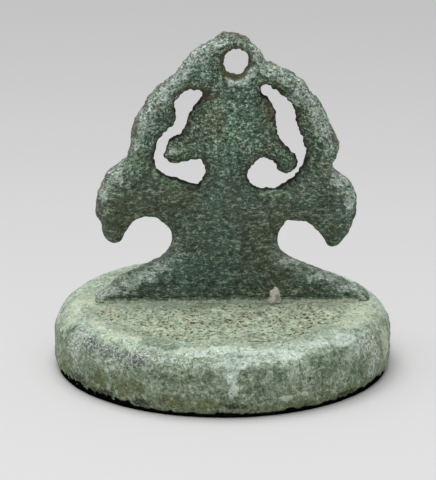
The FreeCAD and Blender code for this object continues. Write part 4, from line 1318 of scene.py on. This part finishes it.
class SEAL_OT_nodule(bpy.types.Operator):
    """Build the pale nodule against the foot"""

    bl_idname = "seal.nodule"
    bl_label = "Nodule"

    def execute(self, context):
        mesh = remeshed("crust_nodule", sizes().nodule_voxel, 2)
        points, normals = points_and_normals(mesh)
        points = points + normals * skin(points, "nodule")[:, None]
        low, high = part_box("crust_nodule")
        climb = (points[:, 2] - low.z) / (high.z - low.z)
        points[:, 0] += (points[:, 0] - (low.x + high.x) / 2) * (0.35 - 0.35 * smooth(climb, 0.1, 0.9))
        move_points(mesh, points)
        add_piece("lime_nodule", mesh, lime_material(), "lime", "crust_nodule")
        return {"FINISHED"}


class SEAL_OT_stage(bpy.types.Operator):
    """Set up the floor, the soft light and the camera"""

    bl_idname = "seal.stage"
    bl_label = "Stage"

    def execute(self, context):
        add_floor()
        add_light()
        add_camera()
        context.scene.view_settings.view_transform = "Standard"
        return {"FINISHED"}


def add_floor():
    """A wide pale floor that darkens evenly towards the back."""
    given = stage()
    half = given.floor_size / 2
    corners = [(-half, -half, 0), (half, -half, 0), (half, half, 0), (-half, half, 0)]
    mesh = bpy.data.meshes.new("floor")
    mesh.from_pydata(corners, [], [(0, 1, 2, 3)])
    floor = show("floor", mesh)
    material, wires, shader, place = new_material("floor_paper")
    fade = wires.span(wires.axis(place, "Y"), given.fade_near, given.fade_far)
    finish(wires, shader, wires.mix(fade, colours().floor_near, colours().floor_far), 0.9)
    mesh.materials.append(material)


def add_light():
    """Even light from all round, and one large soft lamp above."""
    given = stage()
    world = bpy.context.scene.world or bpy.data.worlds.new("studio")
    bpy.context.scene.world = world
    world.use_nodes = True
    background = world.node_tree.nodes["Background"]
    background.inputs["Color"].default_value = (1.0, 1.0, 1.0, 1.0)
    background.inputs["Strength"].default_value = given.sky
    data = bpy.data.lights.new("soft_lamp", "AREA")
    data.shape = "SQUARE"
    data.size = given.lamp_side
    data.energy = given.lamp
    lamp = show("soft_lamp", data)
    lamp.location = (-given.lamp_left, given.lamp_back, given.lamp_height)
    lamp.rotation_euler = (-lamp.location).to_track_quat("-Z", "Y").to_euler()


def add_camera():
    """The camera, far off and a little above level."""
    given = stage()
    turn, level = given.azimuth, math.cos(given.elevation)
    aim = Vector((given.aim_across * math.cos(turn), given.aim_across * math.sin(turn), given.aim_height))
    back = Vector((math.sin(turn) * level, -math.cos(turn) * level, math.sin(given.elevation)))
    data = bpy.data.cameras.new("camera")
    data.lens = given.lens
    data.clip_start = 10 * MM
    camera = show("camera", data)
    camera.location = aim + back * given.distance
    camera.rotation_euler = (-back).to_track_quat("-Z", "Y").to_euler()
    bpy.context.scene.camera = camera


class SEAL_PT_panel(bpy.types.Panel):
    """Lists the seal's pieces"""

    bl_label = "Bronze Seal"
    bl_idname = "SEAL_PT_panel"
    bl_space_type = "VIEW_3D"
    bl_region_type = "UI"
    bl_category = "Seal"

    def draw(self, context):
        for operator in OPERATORS:
            self.layout.operator(operator.bl_idname)
        for group in (context.scene.seal_sizes, context.scene.seal_colours, context.scene.seal_stage):
            box = self.layout.box()
            for name in group.bl_rna.properties.keys():
                if name not in ("rna_type", "name"):
                    box.prop(group, name)


OPERATORS = (
    SEAL_OT_stage, SEAL_OT_seal_disc, SEAL_OT_grip, SEAL_OT_solder, SEAL_OT_crust, SEAL_OT_nodule,
)
GROUPS = (SealSizes, SealColours, SealStage)


def register():
    """Register the properties, operators and panel."""
    for item in (*GROUPS, *OPERATORS, SEAL_PT_panel):
        bpy.utils.register_class(item)
    bpy.types.Scene.seal_sizes = bpy.props.PointerProperty(type=SealSizes)
    bpy.types.Scene.seal_colours = bpy.props.PointerProperty(type=SealColours)
    bpy.types.Scene.seal_stage = bpy.props.PointerProperty(type=SealStage)


def unregister():
    """Remove what register added."""
    del bpy.types.Scene.seal_stage
    del bpy.types.Scene.seal_colours
    del bpy.types.Scene.seal_sizes
    for item in reversed((*GROUPS, *OPERATORS, SEAL_PT_panel)):
        bpy.utils.unregister_class(item)


def main():
    """Build every piece."""
    register()
    bpy.ops.seal.stage()
    bpy.ops.seal.seal_disc()
    bpy.ops.seal.grip()
    bpy.ops.seal.solder()
    bpy.ops.seal.crust()
    bpy.ops.seal.nodule()
    bpy.context.view_layer.update()


if __name__ == "__main__":
    main()
